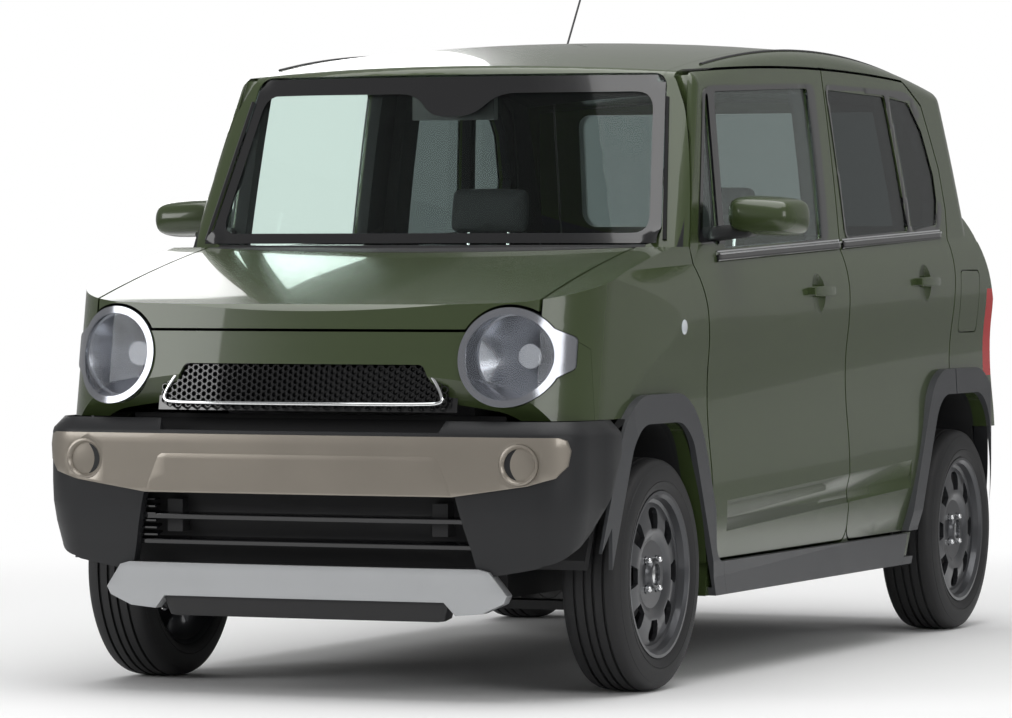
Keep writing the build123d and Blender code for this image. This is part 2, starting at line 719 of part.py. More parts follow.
FRONT_OPENING = arch_prism(FRONT_AXLE_Y, FRONT_ARCH, 0.0, ARCH_INNER_X, TRIM_X + WALL)
REAR_OPENING = arch_prism(REAR_AXLE_Y, REAR_ARCH, 0.0, ARCH_INNER_X, TRIM_X + WALL)
BONNET_EDGE_X = BONNET_HALF_WIDTH - GAP / 2


def headlamp_hole(grow):
    """Outline of one headlamp with its turn lamp, run through the nose."""
    with BuildPart() as hole:
        with BuildSketch(Plane.XZ.offset(-HEADLAMP_REAR_Y)):
            with BuildLine():
                Polyline(
                    (HEADLAMP_X, HEADLAMP_Z + HEADLAMP_RADIUS),
                    (TURN_LAMP_X, TURN_LAMP_Z[1]),
                    (TURN_LAMP_X, TURN_LAMP_Z[0]),
                    (HEADLAMP_X, HEADLAMP_Z - HEADLAMP_RADIUS),
                    close=True,
                )
            make_face()
            fillet(vertices().group_by(Axis.X)[-1], TURN_LAMP_RADIUS)
            with Locations((HEADLAMP_X, HEADLAMP_Z)):
                Circle(HEADLAMP_RADIUS)
            if grow:
                offset(amount=grow)
        extrude(amount=NOSE_REACH)
    return hole.part


LAMP_HOLES = both_sides(headlamp_hole(SEAM))

# Bonnet
with BuildPart() as cowl_line:
    add(bowed_prism(SCREEN_FOOT_Y - COWL_WIDTH, SCREEN_FOOT_Z, 0.0, SCREEN_BOW_RADIUS, -1, 0.0, BASE_Z, HEIGHT))
with BuildPart() as cowl_front:
    add(bowed_prism(SCREEN_FOOT_Y - COWL_WIDTH + GAP, SCREEN_FOOT_Z, 0.0, SCREEN_BOW_RADIUS, -1, 0.0, BASE_Z, HEIGHT))
with BuildPart() as screen_line:
    add(bowed_prism(SCREEN_FOOT_Y, SCREEN_FOOT_Z, SCREEN_LEAN, SCREEN_BOW_RADIUS, -1, 0.0, BASE_Z, HEIGHT))

bonnet_side = [
    (NOSE_Y - WALL, BONNET_GAP_Z + GAP / 2),
    (NOSE_Y - WALL, HEIGHT),
    (FRONT_AXLE_Y + 400, HEIGHT),
    (FRONT_AXLE_Y + 400, BONNET_REAR_Z - 2 * WALL),
    (NOSE_Y + 160, BONNET_GAP_Z + GAP / 2),
]
with BuildPart() as bonnet:
    add(SHELL)
    add(side_prism(bonnet_side, -BONNET_EDGE_X, BONNET_EDGE_X), mode=Mode.INTERSECT)
    add(cowl_line.part, mode=Mode.SUBTRACT)
    add(both_sides(headlamp_hole(GAP)), mode=Mode.SUBTRACT)
save(bonnet.part, "bonnet")

# Cowl panel between the bonnet and the windscreen
cowl_side = [
    (FRONT_AXLE_Y, BONNET_REAR_Z - 1.2 * WALL),
    (FRONT_AXLE_Y, HEIGHT),
    (FRONT_AXLE_Y + 400, HEIGHT),
    (FRONT_AXLE_Y + 400, BONNET_REAR_Z - 1.2 * WALL),
]
with BuildPart() as cowl_panel:
    add(SHELL)
    add(side_prism(cowl_side, -BONNET_HALF_WIDTH, BONNET_HALF_WIDTH), mode=Mode.INTERSECT)
    add(cowl_front.part, mode=Mode.INTERSECT)
    add(box_between(-FAR, FAR, -FAR, FAR, SCREEN_GLASS_FOOT_Z - SEAT_GAP, HEIGHT), mode=Mode.SUBTRACT)
save(cowl_panel.part, "cowl_panel")

# Windscreen
with BuildPart() as windscreen:
    add(bowed_prism(SCREEN_FOOT_Y, SCREEN_FOOT_Z, SCREEN_LEAN, SCREEN_BOW_RADIUS, -1, GLASS_SET_BACK, BASE_Z, HEIGHT))
    add(bowed_prism(SCREEN_FOOT_Y, SCREEN_FOOT_Z, SCREEN_LEAN, SCREEN_BOW_RADIUS, -1, GLASS_SET_BACK + GLASS,
                    BASE_Z, HEIGHT), mode=Mode.SUBTRACT)
    add(windscreen_prism(0.0), mode=Mode.INTERSECT)
save(windscreen.part, "windscreen")

# Nose panel
nose_side = [
    (NOSE_Y - WALL, NOSE_PANEL_Z),
    (NOSE_SPLIT_Y, NOSE_PANEL_Z),
    (NOSE_SPLIT_Y, BONNET_GAP_Z - WALL),
    (NOSE_SPLIT_Y - 80, BONNET_GAP_Z - GAP / 2),
    (NOSE_Y - WALL, BONNET_GAP_Z - GAP / 2),
]
grille_outline = [
    (-GRILLE_FOOT_HALF, GRILLE_FOOT_Z),
    (GRILLE_FOOT_HALF, GRILLE_FOOT_Z),
    (GRILLE_HEAD_HALF, GRILLE_HEAD_Z),
    (-GRILLE_HEAD_HALF, GRILLE_HEAD_Z),
]
GRILLE_HOLE = front_prism(grille_outline, NOSE_Y - WALL, FRONT_AXLE_Y - 400, GRILLE_RADIUS)
with BuildPart() as nose_panel:
    add(SHELL)
    add(side_prism(nose_side, -TRIM_X, TRIM_X), mode=Mode.INTERSECT)
    add(GRILLE_HOLE, mode=Mode.SUBTRACT)
    add(LAMP_HOLES, mode=Mode.SUBTRACT)
save(nose_panel.part, "nose_panel")

# Front fenders
fender_side = [
    (NOSE_Y - WALL, BONNET_GAP_Z - GAP / 2 + SEAM),
    (NOSE_SPLIT_Y - 80, BONNET_GAP_Z - GAP / 2 + SEAM),
    (NOSE_SPLIT_Y + SEAM, BONNET_GAP_Z - WALL + SEAM),
    (NOSE_SPLIT_Y + SEAM, NOSE_PANEL_Z),
    (FRONT_AXLE_Y, NOSE_PANEL_Z),
    (FRONT_AXLE_Y, SILL_HEAD_Z),
    (FRONT_DOOR_FOOT_Y + 40, SILL_HEAD_Z),
    (FRONT_DOOR_FOOT_Y + 40, PILLAR_FOOT_Z),
    (NOSE_Y - WALL, PILLAR_FOOT_Z),
]
with BuildPart() as fender:
    add(SHELL)
    add(side_prism(fender_side, BONNET_HALF_WIDTH + GAP / 2, TRIM_X), mode=Mode.INTERSECT)
    add(door_prism(True, GAP), mode=Mode.SUBTRACT)
    add(FRONT_OPENING, mode=Mode.SUBTRACT)
    add(headlamp_hole(SEAM), mode=Mode.SUBTRACT)
save(both_sides(fender.part), "front_fenders")

# Roof panel
with BuildPart() as roof_panel:
    add(SHELL)
    add(box_between(-ROOF_HALF, ROOF_HALF, SCREEN_FOOT_Y, TAIL_Y, SCREEN_HEAD_Z - WALL, HEIGHT), mode=Mode.INTERSECT)
    add(windscreen_prism(SEAT_GAP), mode=Mode.SUBTRACT)
    add(tailgate_prism(GAP), mode=Mode.SUBTRACT)
save(roof_panel.part, "roof_panel")

# Body sides: pillars, roof rails, quarters and sills
body_side_outline = [
    (FRONT_AXLE_Y + 200, PILLAR_FOOT_Z),
    (FRONT_DOOR_BELT[0] + 60, PILLAR_FOOT_Z),
    (FRONT_DOOR_FOOT_Y + 60, SILL_HEAD_Z + 40),
    (FRONT_DOOR_FOOT_Y + 60, SILL_HEAD_Z),
    (FRONT_AXLE_Y + FRONT_ARCH.foot_rear + SILL_END, SILL_HEAD_Z),
    (FRONT_AXLE_Y + FRONT_ARCH.foot_rear + SILL_END, SILL_FOOT_Z),
    (REAR_AXLE_Y - REAR_ARCH.foot_front + 60, SILL_FOOT_Z),
    (REAR_AXLE_Y, REAR_BUMPER_HEAD_Z + SEAM),
    (TAIL_Y + WALL, REAR_BUMPER_HEAD_Z + SEAM),
    (TAIL_Y + WALL, HEIGHT + WALL),
    (FRONT_AXLE_Y + 200, HEIGHT + WALL),
]
sill_box = common(
    cut_from(section_run(0.0), section_run(SILL_DEPTH)),
    box_between(SILL_INNER_X, TRIM_X, FRONT_AXLE_Y + FRONT_ARCH.foot_rear + SILL_END, REAR_AXLE_Y - REAR_ARCH.foot_front + 60,
                SILL_FOOT_Z, SILL_HEAD_Z),
)
b_pillar = common(
    cut_from(section_run(WALL + GAP), section_run(PILLAR_DEPTH)),
    side_prism([(DOOR_LINE_Y - B_PILLAR_HALF, SILL_HEAD_Z), (DOOR_LINE_Y + B_PILLAR_HALF, SILL_HEAD_Z),
                (DOOR_LINE_Y + B_PILLAR_HALF, head_z(DOOR_LINE_Y) + B_PILLAR_HEAD),
                (DOOR_LINE_Y - B_PILLAR_HALF, head_z(DOOR_LINE_Y) + B_PILLAR_HEAD)], 0, TRIM_X),
)
lamp_outline = [(TAIL_LAMP_INNER_X, TAIL_LAMP_Z[0]), (TRIM_X, TAIL_LAMP_Z[0]), (TRIM_X, TAIL_LAMP_Z[1]),
                (TAIL_LAMP_INNER_X, TAIL_LAMP_Z[1])]
flap_outline = [(FLAP_Y[0], FLAP_Z[0]), (FLAP_Y[1], FLAP_Z[0]), (FLAP_Y[1], FLAP_Z[1]), (FLAP_Y[0], FLAP_Z[1])]


def flap_prism(grow):
    """Fuel flap seen from the side."""
    low_y, high_y = FLAP_Y[0] - grow, FLAP_Y[1] + grow
    low_z, high_z = FLAP_Z[0] - grow, FLAP_Z[1] + grow
    outline = [(low_y, low_z), (high_y, low_z), (high_y, high_z), (low_y, high_z)]
    return side_prism(outline, DOOR_INNER_X, TRIM_X, FLAP_RADIUS)


with BuildPart() as body_side:
    add(SHELL)
    add(side_prism(body_side_outline, 0, TRIM_X), mode=Mode.INTERSECT)
    add(box_between(0, ROOF_HALF + SEAM, -FAR, FAR, SCREEN_HEAD_Z - WALL, HEIGHT + WALL), mode=Mode.SUBTRACT)
    add(windscreen_prism(SEAT_GAP), mode=Mode.SUBTRACT)
    add(box_between(0, BONNET_HALF_WIDTH + SEAM, -FAR, 0, 0, SCREEN_GLASS_FOOT_Z), mode=Mode.SUBTRACT)
    add(tailgate_prism(GAP), mode=Mode.SUBTRACT)
    add(door_prism(True, GAP), mode=Mode.SUBTRACT)
    add(door_prism(False, GAP), mode=Mode.SUBTRACT)
    add(box_between(DOOR_INNER_X - SEAM, TRIM_X, DOOR_LINE_Y - 3 * GAP, DOOR_LINE_Y + 3 * GAP, SHOULDER_Z,
                    head_z(DOOR_LINE_Y) + GAP + SEAM), mode=Mode.SUBTRACT)
    add(REAR_OPENING, mode=Mode.SUBTRACT)
    add(sill_box)
    add(b_pillar)
    add(REAR_OPENING, mode=Mode.SUBTRACT)
    add(box_between(0, TAIL_LAMP_INNER_X - 30, REAR_AXLE_Y, FAR, BASE_Z, TAILGATE_FOOT_Z + 2 * GAP),
        mode=Mode.SUBTRACT)
tail_lamp_zone = front_prism(lamp_outline, TAIL_LAMP_FRONT_Y, TAIL_Y + WALL)
tail_lamp = common(body_side.part, tail_lamp_zone)
left_side = cut_from(body_side.part, tail_lamp_zone)
flap_pocket = cut_from(flap_prism(GAP / 2), section_run(FLAP_POCKET))
left_flap = common(common(left_side, flap_prism(0.0)), cut_from(section_run(0.0), section_run(FLAP_THICKNESS)))
left_side_open = cut_from(left_side, flap_pocket)
right_side = mirror(left_side, about=Plane.YZ)
with BuildPart() as body_sides:
    add(left_side_open)
    add(right_side)
save(body_sides.part, "body_sides")
save(left_flap, "fuel_flap")
save(both_sides(tail_lamp), "tail_lamps")


def bumper_prism(bumper, inset, z_from, z_to):
    """Solid behind the outline of a bumper seen from above, with straight walls."""
    back = -bumper.facing
    with BuildPart() as prism:
        with BuildSketch(Plane.XY.offset(z_from)):
            with BuildLine():
                face_end = (bumper.half_flat, bumper.centre_y + back * bumper.bow)
                face = TangentArc((0, bumper.centre_y), face_end, tangent=(1, 0))
                corner_end = (bumper.corner_x, bumper.centre_y + back * bumper.corner_back)
                corner = TangentArc(face @ 1, corner_end, tangent=face % 1)
                side_end = (bumper.side_x, bumper.centre_y + back * bumper.side_back)
                side = TangentArc(corner @ 1, side_end, tangent=corner % 1)
                far_y = back * LENGTH / 2
                Polyline(side @ 1, (bumper.side_x, far_y), (0, far_y))
                mirror(about=Plane.YZ)
            make_face()
            if inset:
                offset(amount=-inset, kind=Kind.INTERSECTION)
        extrude(amount=z_to - z_from)
    return prism.part


def window_prism(points, radius, grow):
    """Window seen from the side, across the whole wall."""
    with BuildPart() as prism:
        with BuildSketch(Plane.YZ.offset(DOOR_INNER_X - WALL)):
            with BuildLine():
                Polyline(*points, close=True)
            make_face()
            fillet(vertices(), radius)
            if grow:
                offset(amount=grow)
        extrude(amount=TRIM_X - DOOR_INNER_X + WALL)
    return prism.part


def sash_points(sash):
    """Corners of a window between two upright bars."""
    foot = [(y, window_foot_z(y)) for y in (sash.foot_front, sash.foot_rear)]
    head = [(y, head_z(y) - WINDOW_HEAD_DROP) for y in (sash.head_rear, sash.head_front)]
    return foot + head


def rod(start, end, radius):
    """Round bar between two points."""
    run = Vector(*end) - Vector(*start)
    with BuildPart() as bar:
        with BuildSketch(Plane(origin=start, z_dir=run)):
            Circle(radius)
        extrude(amount=run.length)
    return bar.part


def turned(points, centre):
    """Ring turned about the X axis through the centre, from (x, radius) points."""
    with BuildPart() as ring:
        with BuildSketch(Plane.XY):
            with BuildLine():
                Polyline(*points, close=True)
            make_face()
        revolve(axis=Axis.X)
    return Pos(*centre) * ring.part


# Doors: skin, glass run, mirror and the arch trim that rides on the rear door
GLASS_LAYER = cut_from(section_run(GLASS_SET_BACK), section_run(GLASS_SET_BACK + GLASS))
DOOR_CORE = section_run(DOOR_SKIN)


def door_shell(front, windows, radii):
    """Left door with its window openings, its inner layer narrower than its skin."""
    with BuildPart() as shell:
        add(SHELL)
        add(door_prism(front, 0.0), mode=Mode.INTERSECT)
        add(cut_from(DOOR_CORE, door_prism(front, -DOOR_STEP)), mode=Mode.SUBTRACT)
        for window, radius in zip(windows, radii):
            add(window_prism(window, radius, SEAT_GAP), mode=Mode.SUBTRACT)
        if not front:
            add(REAR_OPENING, mode=Mode.SUBTRACT)
    return shell.part


def door_glass(windows, radii):
    """Panes of the left door."""
    with BuildPart() as panes:
        for window, radius in zip(windows, radii):
            add(common(GLASS_LAYER, window_prism(window, radius, 0.0)))
    return panes.part


front_windows = [FRONT_QUARTER, sash_points(FRONT_WINDOW)]
rear_quarter_foot = (REAR_QUARTER_FRONT[0], window_foot_z(REAR_QUARTER_FRONT[0]))
rear_quarter_head = (REAR_QUARTER_FRONT[1], head_z(REAR_QUARTER_FRONT[1]) - WINDOW_HEAD_DROP)
rear_windows = [sash_points(REAR_WINDOW), [rear_quarter_foot, rear_quarter_head, *REAR_QUARTER_BACK]]
save_pair(door_shell(True, front_windows, (QUARTER_RADIUS, WINDOW_RADIUS)), "front_door")
save_pair(door_shell(False, rear_windows, (WINDOW_RADIUS, WINDOW_RADIUS)), "rear_door")
save_pair(door_glass(front_windows, (QUARTER_RADIUS, WINDOW_RADIUS)), "front_door_glass")
save_pair(door_glass(rear_windows, (WINDOW_RADIUS, WINDOW_RADIUS)), "rear_door_glass")

with BuildPart() as door_mirror:
    with Locations(((MIRROR_X[0] + MIRROR_X[1]) / 2, MIRROR_Y, (MIRROR_Z[0] + MIRROR_Z[1]) / 2)):
        Box(MIRROR_X[1] - MIRROR_X[0], MIRROR_DEPTH, MIRROR_Z[1] - MIRROR_Z[0])
    fillet(edges().filter_by(Axis.Y), MIRROR_RADIUS)
    fillet(edges().group_by(Axis.Y)[0], MIRROR_RADIUS)
    add(box_between(BELT_X - WALL / 2, MIRROR_X[0] + MIRROR_FOOT, MIRROR_Y - MIRROR_FOOT, MIRROR_Y,
                    MIRROR_FOOT_Z, MIRROR_Z[0] + MIRROR_FOOT))
    add(OUTER, mode=Mode.SUBTRACT)
save_pair(door_mirror.part, "door_mirror")

# Claddings round the wheel openings and along the sills
with BuildPart() as trim_form:
    add(nose_prism(-TRIM_PROUD, BASE_Z, BONNET_GAP_Z))
    add(section_run(-TRIM_PROUD), mode=Mode.INTERSECT)
    add(bumper_prism(REAR_BUMPER, -TRIM_PROUD / 2, BASE_Z, BONNET_GAP_Z), mode=Mode.INTERSECT)
    add(box_between(ARCH_INNER_X, TRIM_X, NOSE_Y, TAIL_Y + WALL, SILL_FOOT_Z, BONNET_GAP_Z), mode=Mode.INTERSECT)
    add(OUTER, mode=Mode.SUBTRACT)
FRONT_BUMPER_FORM = bumper_prism(FRONT_BUMPER, 0.0, BUMPER_FOOT_Z, NOSE_PANEL_Z - SEAM)
REAR_BUMPER_FORM = bumper_prism(REAR_BUMPER, 0.0, BUMPER_FOOT_Z, REAR_BUMPER_HEAD_Z)
front_ring = cut_from(arch_prism(FRONT_AXLE_Y, FRONT_ARCH, ARCH_TRIM_WIDTH, TRIM_INNER_X, TRIM_X + WALL), FRONT_OPENING)
rear_ring = cut_from(arch_prism(REAR_AXLE_Y, REAR_ARCH, ARCH_TRIM_WIDTH, TRIM_INNER_X, TRIM_X + WALL), REAR_OPENING)
sill_zone = cut_from(
    box_between(TRIM_INNER_X, TRIM_X + WALL, FRONT_AXLE_Y, REAR_AXLE_Y, SILL_FOOT_Z, SILL_HEAD_Z),
    arch_prism(FRONT_AXLE_Y, FRONT_ARCH, ARCH_TRIM_WIDTH + SEAM, TRIM_INNER_X, TRIM_X + WALL),
    arch_prism(REAR_AXLE_Y, REAR_ARCH, ARCH_TRIM_WIDTH + SEAM, TRIM_INNER_X, TRIM_X + WALL),
)
door_zones = [door_prism(True, GAP), door_prism(False, GAP)]
corner_rise = [(NOSE_Y + y, z) for y, z in BUMPER_CORNER_RISE]
corner_rise.append((corner_rise[-1][0], BASE_Z))
corner_rise.append((corner_rise[0][0], BASE_Z))
CORNER_RISE = side_prism(corner_rise, -TRIM_X, TRIM_X)
front_trim = cut_from(common(trim_form.part, front_ring), FRONT_BUMPER_FORM, door_zones[0], CORNER_RISE)
rear_trim = cut_from(common(trim_form.part, rear_ring), REAR_BUMPER_FORM, door_zones[1])
sill_trim = common(trim_form.part, sill_zone)
rear_door_trim = common(trim_form.part, rear_ring, door_prism(False, 0.0))
with BuildPart() as claddings:
    for trim in (front_trim, rear_trim, sill_trim):
        add(both_sides(trim))
save(claddings.part, "side_claddings")
save_pair(rear_door_trim, "rear_door_cladding")

# Tailgate and its glass
rear_glass_outline = [(-REAR_GLASS[0][0], REAR_GLASS[0][1]), REAR_GLASS[0], REAR_GLASS[1],
                      (-REAR_GLASS[1][0], REAR_GLASS[1][1])]
glass_reach = (TAILGATE_FRONT_Y, TAIL_Y)
rear_glass_prism = front_prism(rear_glass_outline, *glass_reach, SCREEN_CORNER_RADIUS)
wider = [(x + (SEAT_GAP if x > 0 else -SEAT_GAP), z + (SEAT_GAP if z > HEIGHT - 400 else -SEAT_GAP))
         for x, z in rear_glass_outline]
with BuildPart() as tailgate:
    add(SHELL)
    add(tailgate_prism(0.0), mode=Mode.INTERSECT)
    add(front_prism(wider, *glass_reach, SCREEN_CORNER_RADIUS), mode=Mode.SUBTRACT)
save(tailgate.part, "tailgate")
with BuildPart() as tailgate_glass:
    add(bowed_prism(*TAIL_UPPER, TAIL_BOW_RADIUS, 1, GLASS_SET_BACK, BASE_Z, HEIGHT))
    add(bowed_prism(*TAIL_UPPER, TAIL_BOW_RADIUS, 1, GLASS_SET_BACK + GLASS, BASE_Z, HEIGHT), mode=Mode.SUBTRACT)
    add(rear_glass_prism, mode=Mode.INTERSECT)
save(tailgate_glass.part, "tailgate_glass")

# Front bumper with its band, skid strip and grilles
front_cut_y = (NOSE_Y - WALL, FRONT_AXLE_Y - 400)
slot = front_prism([(-SLOT_HALF[0], SLOT_Z[0]), (SLOT_HALF[0], SLOT_Z[0]), (SLOT_HALF[1], SLOT_Z[1]),
                    (-SLOT_HALF[1], SLOT_Z[1])], *front_cut_y)
grille_gate = front_prism([(-LOWER_GRILLE_HALF[0], LOWER_GRILLE_Z[0]), (LOWER_GRILLE_HALF[0], LOWER_GRILLE_Z[0]),
                           (LOWER_GRILLE_HALF[1], LOWER_GRILLE_Z[1]), (-LOWER_GRILLE_HALF[1], LOWER_GRILLE_Z[1])],
                          *front_cut_y)
fog_y = NOSE_Y + FOG_SET_BACK
fog_hole = rod((FOG_X, NOSE_Y - WALL, FOG_Z), (FOG_X, fog_y + FOG_DEPTH, FOG_Z), FOG_RADIUS)
with BuildPart() as front_bumper:
    add(FRONT_BUMPER_FORM)
    add(bumper_prism(FRONT_BUMPER, BUMPER_WALL, BUMPER_FOOT_Z, NOSE_PANEL_Z), mode=Mode.SUBTRACT)
    add(both_sides(FRONT_OPENING), mode=Mode.SUBTRACT)
    add(box_between(-FAR, FAR, FRONT_AXLE_Y, FAR, BASE_Z, HEIGHT), mode=Mode.SUBTRACT)
    add(CORNER_RISE, mode=Mode.SUBTRACT)
    add(slot, mode=Mode.SUBTRACT)
    add(grille_gate, mode=Mode.SUBTRACT)
    add(both_sides(fog_hole), mode=Mode.SUBTRACT)
save(front_bumper.part, "front_bumper")


def laid_on_bumper(outline, proud):
    """Piece of even thickness lying on the front bumper, from half an outline seen from the front."""
    far_half = [(-x, z) for x, z in reversed(outline)]
    form = bumper_prism(FRONT_BUMPER, -proud, BUMPER_FOOT_Z, NOSE_PANEL_Z - SEAM)
    return cut_from(common(form, front_prism([*outline, *far_half], *front_cut_y)), FRONT_BUMPER_FORM)


save(cut_from(laid_on_bumper(BAND_OUTLINE, BAND_PROUD), both_sides(fog_hole)), "bumper_band")
save(laid_on_bumper(SKID_OUTLINE, SKID_PROUD), "skid_strip")
with BuildPart() as front_lip:
    add(bumper_prism(FRONT_BUMPER, LIP_SET_BACK, LIP_FOOT_Z, BUMPER_FOOT_Z))
    add(bumper_prism(FRONT_BUMPER, LIP_SET_BACK + LIP_THICKNESS, LIP_FOOT_Z, BUMPER_FOOT_Z), mode=Mode.SUBTRACT)
    add(box_between(-LIP_HALF, LIP_HALF, NOSE_Y, FRONT_AXLE_Y, LIP_FOOT_Z, BUMPER_FOOT_Z), mode=Mode.INTERSECT)
save(front_lip.part, "front_lip")

with BuildPart() as lower_grille:
    for z in SLAT_Z:
        add(box_between(-LOWER_GRILLE_HALF[0], LOWER_GRILLE_HALF[0], NOSE_Y, FRONT_AXLE_Y, z - SLAT_HEIGHT / 2,
                        z + SLAT_HEIGHT / 2))
    add(grille_gate, mode=Mode.INTERSECT)
    add(bumper_prism(FRONT_BUMPER, SLAT_SET_BACK, BUMPER_FOOT_Z, NOSE_PANEL_Z), mode=Mode.INTERSECT)
    add(bumper_prism(FRONT_BUMPER, SLAT_SET_BACK + SLAT_DEPTH, BUMPER_FOOT_Z, NOSE_PANEL_Z), mode=Mode.SUBTRACT)
save(lower_grille.part, "lower_grille")

with BuildPart() as honeycomb:
    with BuildSketch(Plane.XZ.offset(400 - FRONT_AXLE_Y)):
        with BuildLine():
            Polyline(*grille_outline, close=True)
        make_face()
        fillet(vertices(), GRILLE_RADIUS)
        with Locations((0, (GRILLE_FOOT_Z + GRILLE_HEAD_Z) / 2)):
            with HexLocations(GRILLE_CELL, GRILLE_COLUMNS, GRILLE_ROWS, major_radius=False):
                RegularPolygon(GRILLE_CELL - GRILLE_RIB / 2, 6, major_radius=False, mode=Mode.SUBTRACT)
    extrude(amount=FRONT_OVERHANG - 400 + WALL)
    add(nose_prism(GRILLE_SET_BACK, BASE_Z, BONNET_GAP_Z), mode=Mode.INTERSECT)
    add(nose_prism(GRILLE_SET_BACK + GRILLE_DEPTH, BASE_Z, BONNET_GAP_Z), mode=Mode.SUBTRACT)
save(honeycomb.part, "upper_grille")

# Rear bumper
with BuildPart() as rear_bumper:
    add(REAR_BUMPER_FORM)
    add(bumper_prism(REAR_BUMPER, BUMPER_WALL, BUMPER_FOOT_Z, REAR_BUMPER_HEAD_Z), mode=Mode.SUBTRACT)
    add(both_sides(REAR_OPENING), mode=Mode.SUBTRACT)
    add(box_between(-FAR, FAR, -FAR, REAR_AXLE_Y, BASE_Z, HEIGHT), mode=Mode.SUBTRACT)
save(rear_bumper.part, "rear_bumper")

# Headlamps
with BuildPart() as lamp_form:
    add(nose_prism(-HEADLAMP_PROUD, BASE_Z, BONNET_REAR_Z))
    add(bonnet_run(-HEADLAMP_PROUD), mode=Mode.INTERSECT)
    add(section_run(-HEADLAMP_PROUD), mode=Mode.INTERSECT)
lens_rod = rod((HEADLAMP_X, NOSE_Y - WALL, HEADLAMP_Z), (HEADLAMP_X, LENS_REAR_Y, HEADLAMP_Z), LENS_RADIUS)
with BuildPart() as headlamp_housing:
    add(headlamp_hole(0.0))
    add(lamp_form.part, mode=Mode.INTERSECT)
    add(lens_rod, mode=Mode.SUBTRACT)
    with BuildSketch(Plane.XZ.offset(-LENS_REAR_Y)):
        with Locations((HEADLAMP_X, HEADLAMP_Z)):
            Circle(REFLECTOR_RADIUS)
    with BuildSketch(Plane.XZ.offset(-LENS_REAR_Y - HEADLAMP_DEPTH)):
        with Locations((HEADLAMP_X, HEADLAMP_Z)):
            Circle(REFLECTOR_FOOT_RADIUS)
    loft(mode=Mode.SUBTRACT)
save(both_sides(headlamp_housing.part), "headlamp_housings")
with BuildPart() as headlamp_lens:
    add(rod((HEADLAMP_X, NOSE_Y - WALL, HEADLAMP_Z), (HEADLAMP_X, LENS_REAR_Y, HEADLAMP_Z), LENS_RADIUS - SEAT_GAP))
    add(body_form(-LENS_PROUD), mode=Mode.INTERSECT)
    add(body_form(LENS_THICKNESS - LENS_PROUD), mode=Mode.SUBTRACT)
save(both_sides(headlamp_lens.part), "headlamp_lenses")

# Underbody: floor, toe board, bulkhead, wheel houses, rails and tail panel
floor_side = [
    (TOE_FOOT_Y, FLOOR_Z),
    (REAR_FLOOR_Y + FLOOR, FLOOR_Z),
    (REAR_FLOOR_Y + FLOOR, REAR_FLOOR_Z),
    (TAIL_PANEL_Y, REAR_FLOOR_Z),
    (TAIL_PANEL_Y, REAR_FLOOR_Z + FLOOR),
    (REAR_FLOOR_Y, REAR_FLOOR_Z + FLOOR),
    (REAR_FLOOR_Y, FLOOR_Z + FLOOR),
    (TOE_FOOT_Y, FLOOR_Z + FLOOR),
    (BULKHEAD_Y + BULKHEAD, BULKHEAD_FOOT_Z),
    (BULKHEAD_Y, BULKHEAD_FOOT_Z),
    (TOE_FOOT_Y - FLOOR, FLOOR_Z + FLOOR),
]
liner_cut = cut_from(door_prism(False, GAP), section_run(WALL + GAP))
with BuildPart() as wheel_house:
    for axle_y, arch, wall_x in ((FRONT_AXLE_Y, FRONT_ARCH, FRONT_HOUSE_X), (REAR_AXLE_Y, REAR_ARCH, REAR_HOUSE_X)):
        add(arch_prism(axle_y, arch, HOUSE_WALL, wall_x, TRIM_X))
        add(arch_prism(axle_y, arch, 0.0, wall_x + HOUSE_WALL, TRIM_X + WALL), mode=Mode.SUBTRACT)
    add(box_between(0, TRIM_X, -FAR, FAR, 0, HOUSE_FOOT_Z), mode=Mode.SUBTRACT)
    add(INNER, mode=Mode.INTERSECT)
    add(liner_cut, mode=Mode.SUBTRACT)
    add(front_bumper.part, mode=Mode.SUBTRACT)
    add(rear_bumper.part, mode=Mode.SUBTRACT)
    add(box_between(REAR_HOUSE_X - HOUSE_WALL, REAR_HOUSE_X + 2 * HOUSE_WALL, REAR_AXLE_Y - AXLE_GATE,
                    REAR_AXLE_Y + AXLE_GATE, 0, REAR_FLOOR_Z + FLOOR), mode=Mode.SUBTRACT)
    add(box_between(SILL_INNER_X - SEAT_GAP, TRIM_X, FRONT_AXLE_Y + 200, REAR_AXLE_Y, 0, SILL_HEAD_Z + SEAT_GAP),
        mode=Mode.SUBTRACT)
with BuildPart() as underbody:
    add(side_prism(floor_side, -FLOOR_HALF, FLOOR_HALF))
    add(both_sides(box_between(REAR_HOUSE_X + HOUSE_WALL, TRIM_X, HOUSE_FRONT_Y, TAIL_Y, 0, HEIGHT)), mode=Mode.SUBTRACT)
    add(both_sides(box_between(FRONT_HOUSE_X + HOUSE_WALL, TRIM_X, -FAR, TOE_FOOT_Y, 0, FRONT_ARCH.head_z)),
        mode=Mode.SUBTRACT)
    add(common(box_between(-FLOOR_HALF, FLOOR_HALF, BULKHEAD_Y, BULKHEAD_Y + BULKHEAD, BULKHEAD_FOOT_Z, HEIGHT), INNER))
    add(both_sides(box_between(*RAIL_X, RAIL_FRONT_Y, TOE_FOOT_Y, *RAIL_Z)))
    add(box_between(-TAIL_PANEL_HALF, TAIL_PANEL_HALF, TAIL_PANEL_Y, TAIL_PANEL_Y + TAIL_PANEL, *TAIL_PANEL_Z))
    add(both_sides(wheel_house.part), mode=Mode.SUBTRACT)
save(underbody.part, "underbody")
save(both_sides(wheel_house.part), "wheel_houses")
board_z = REAR_FLOOR_Z + FLOOR + SEAT_GAP
save(box_between(-BOARD_HALF, BOARD_HALF, BOARD_FRONT_Y, TAIL_PANEL_Y - SEAT_GAP, board_z, board_z + BOARD_THICKNESS),
     "boot_board")

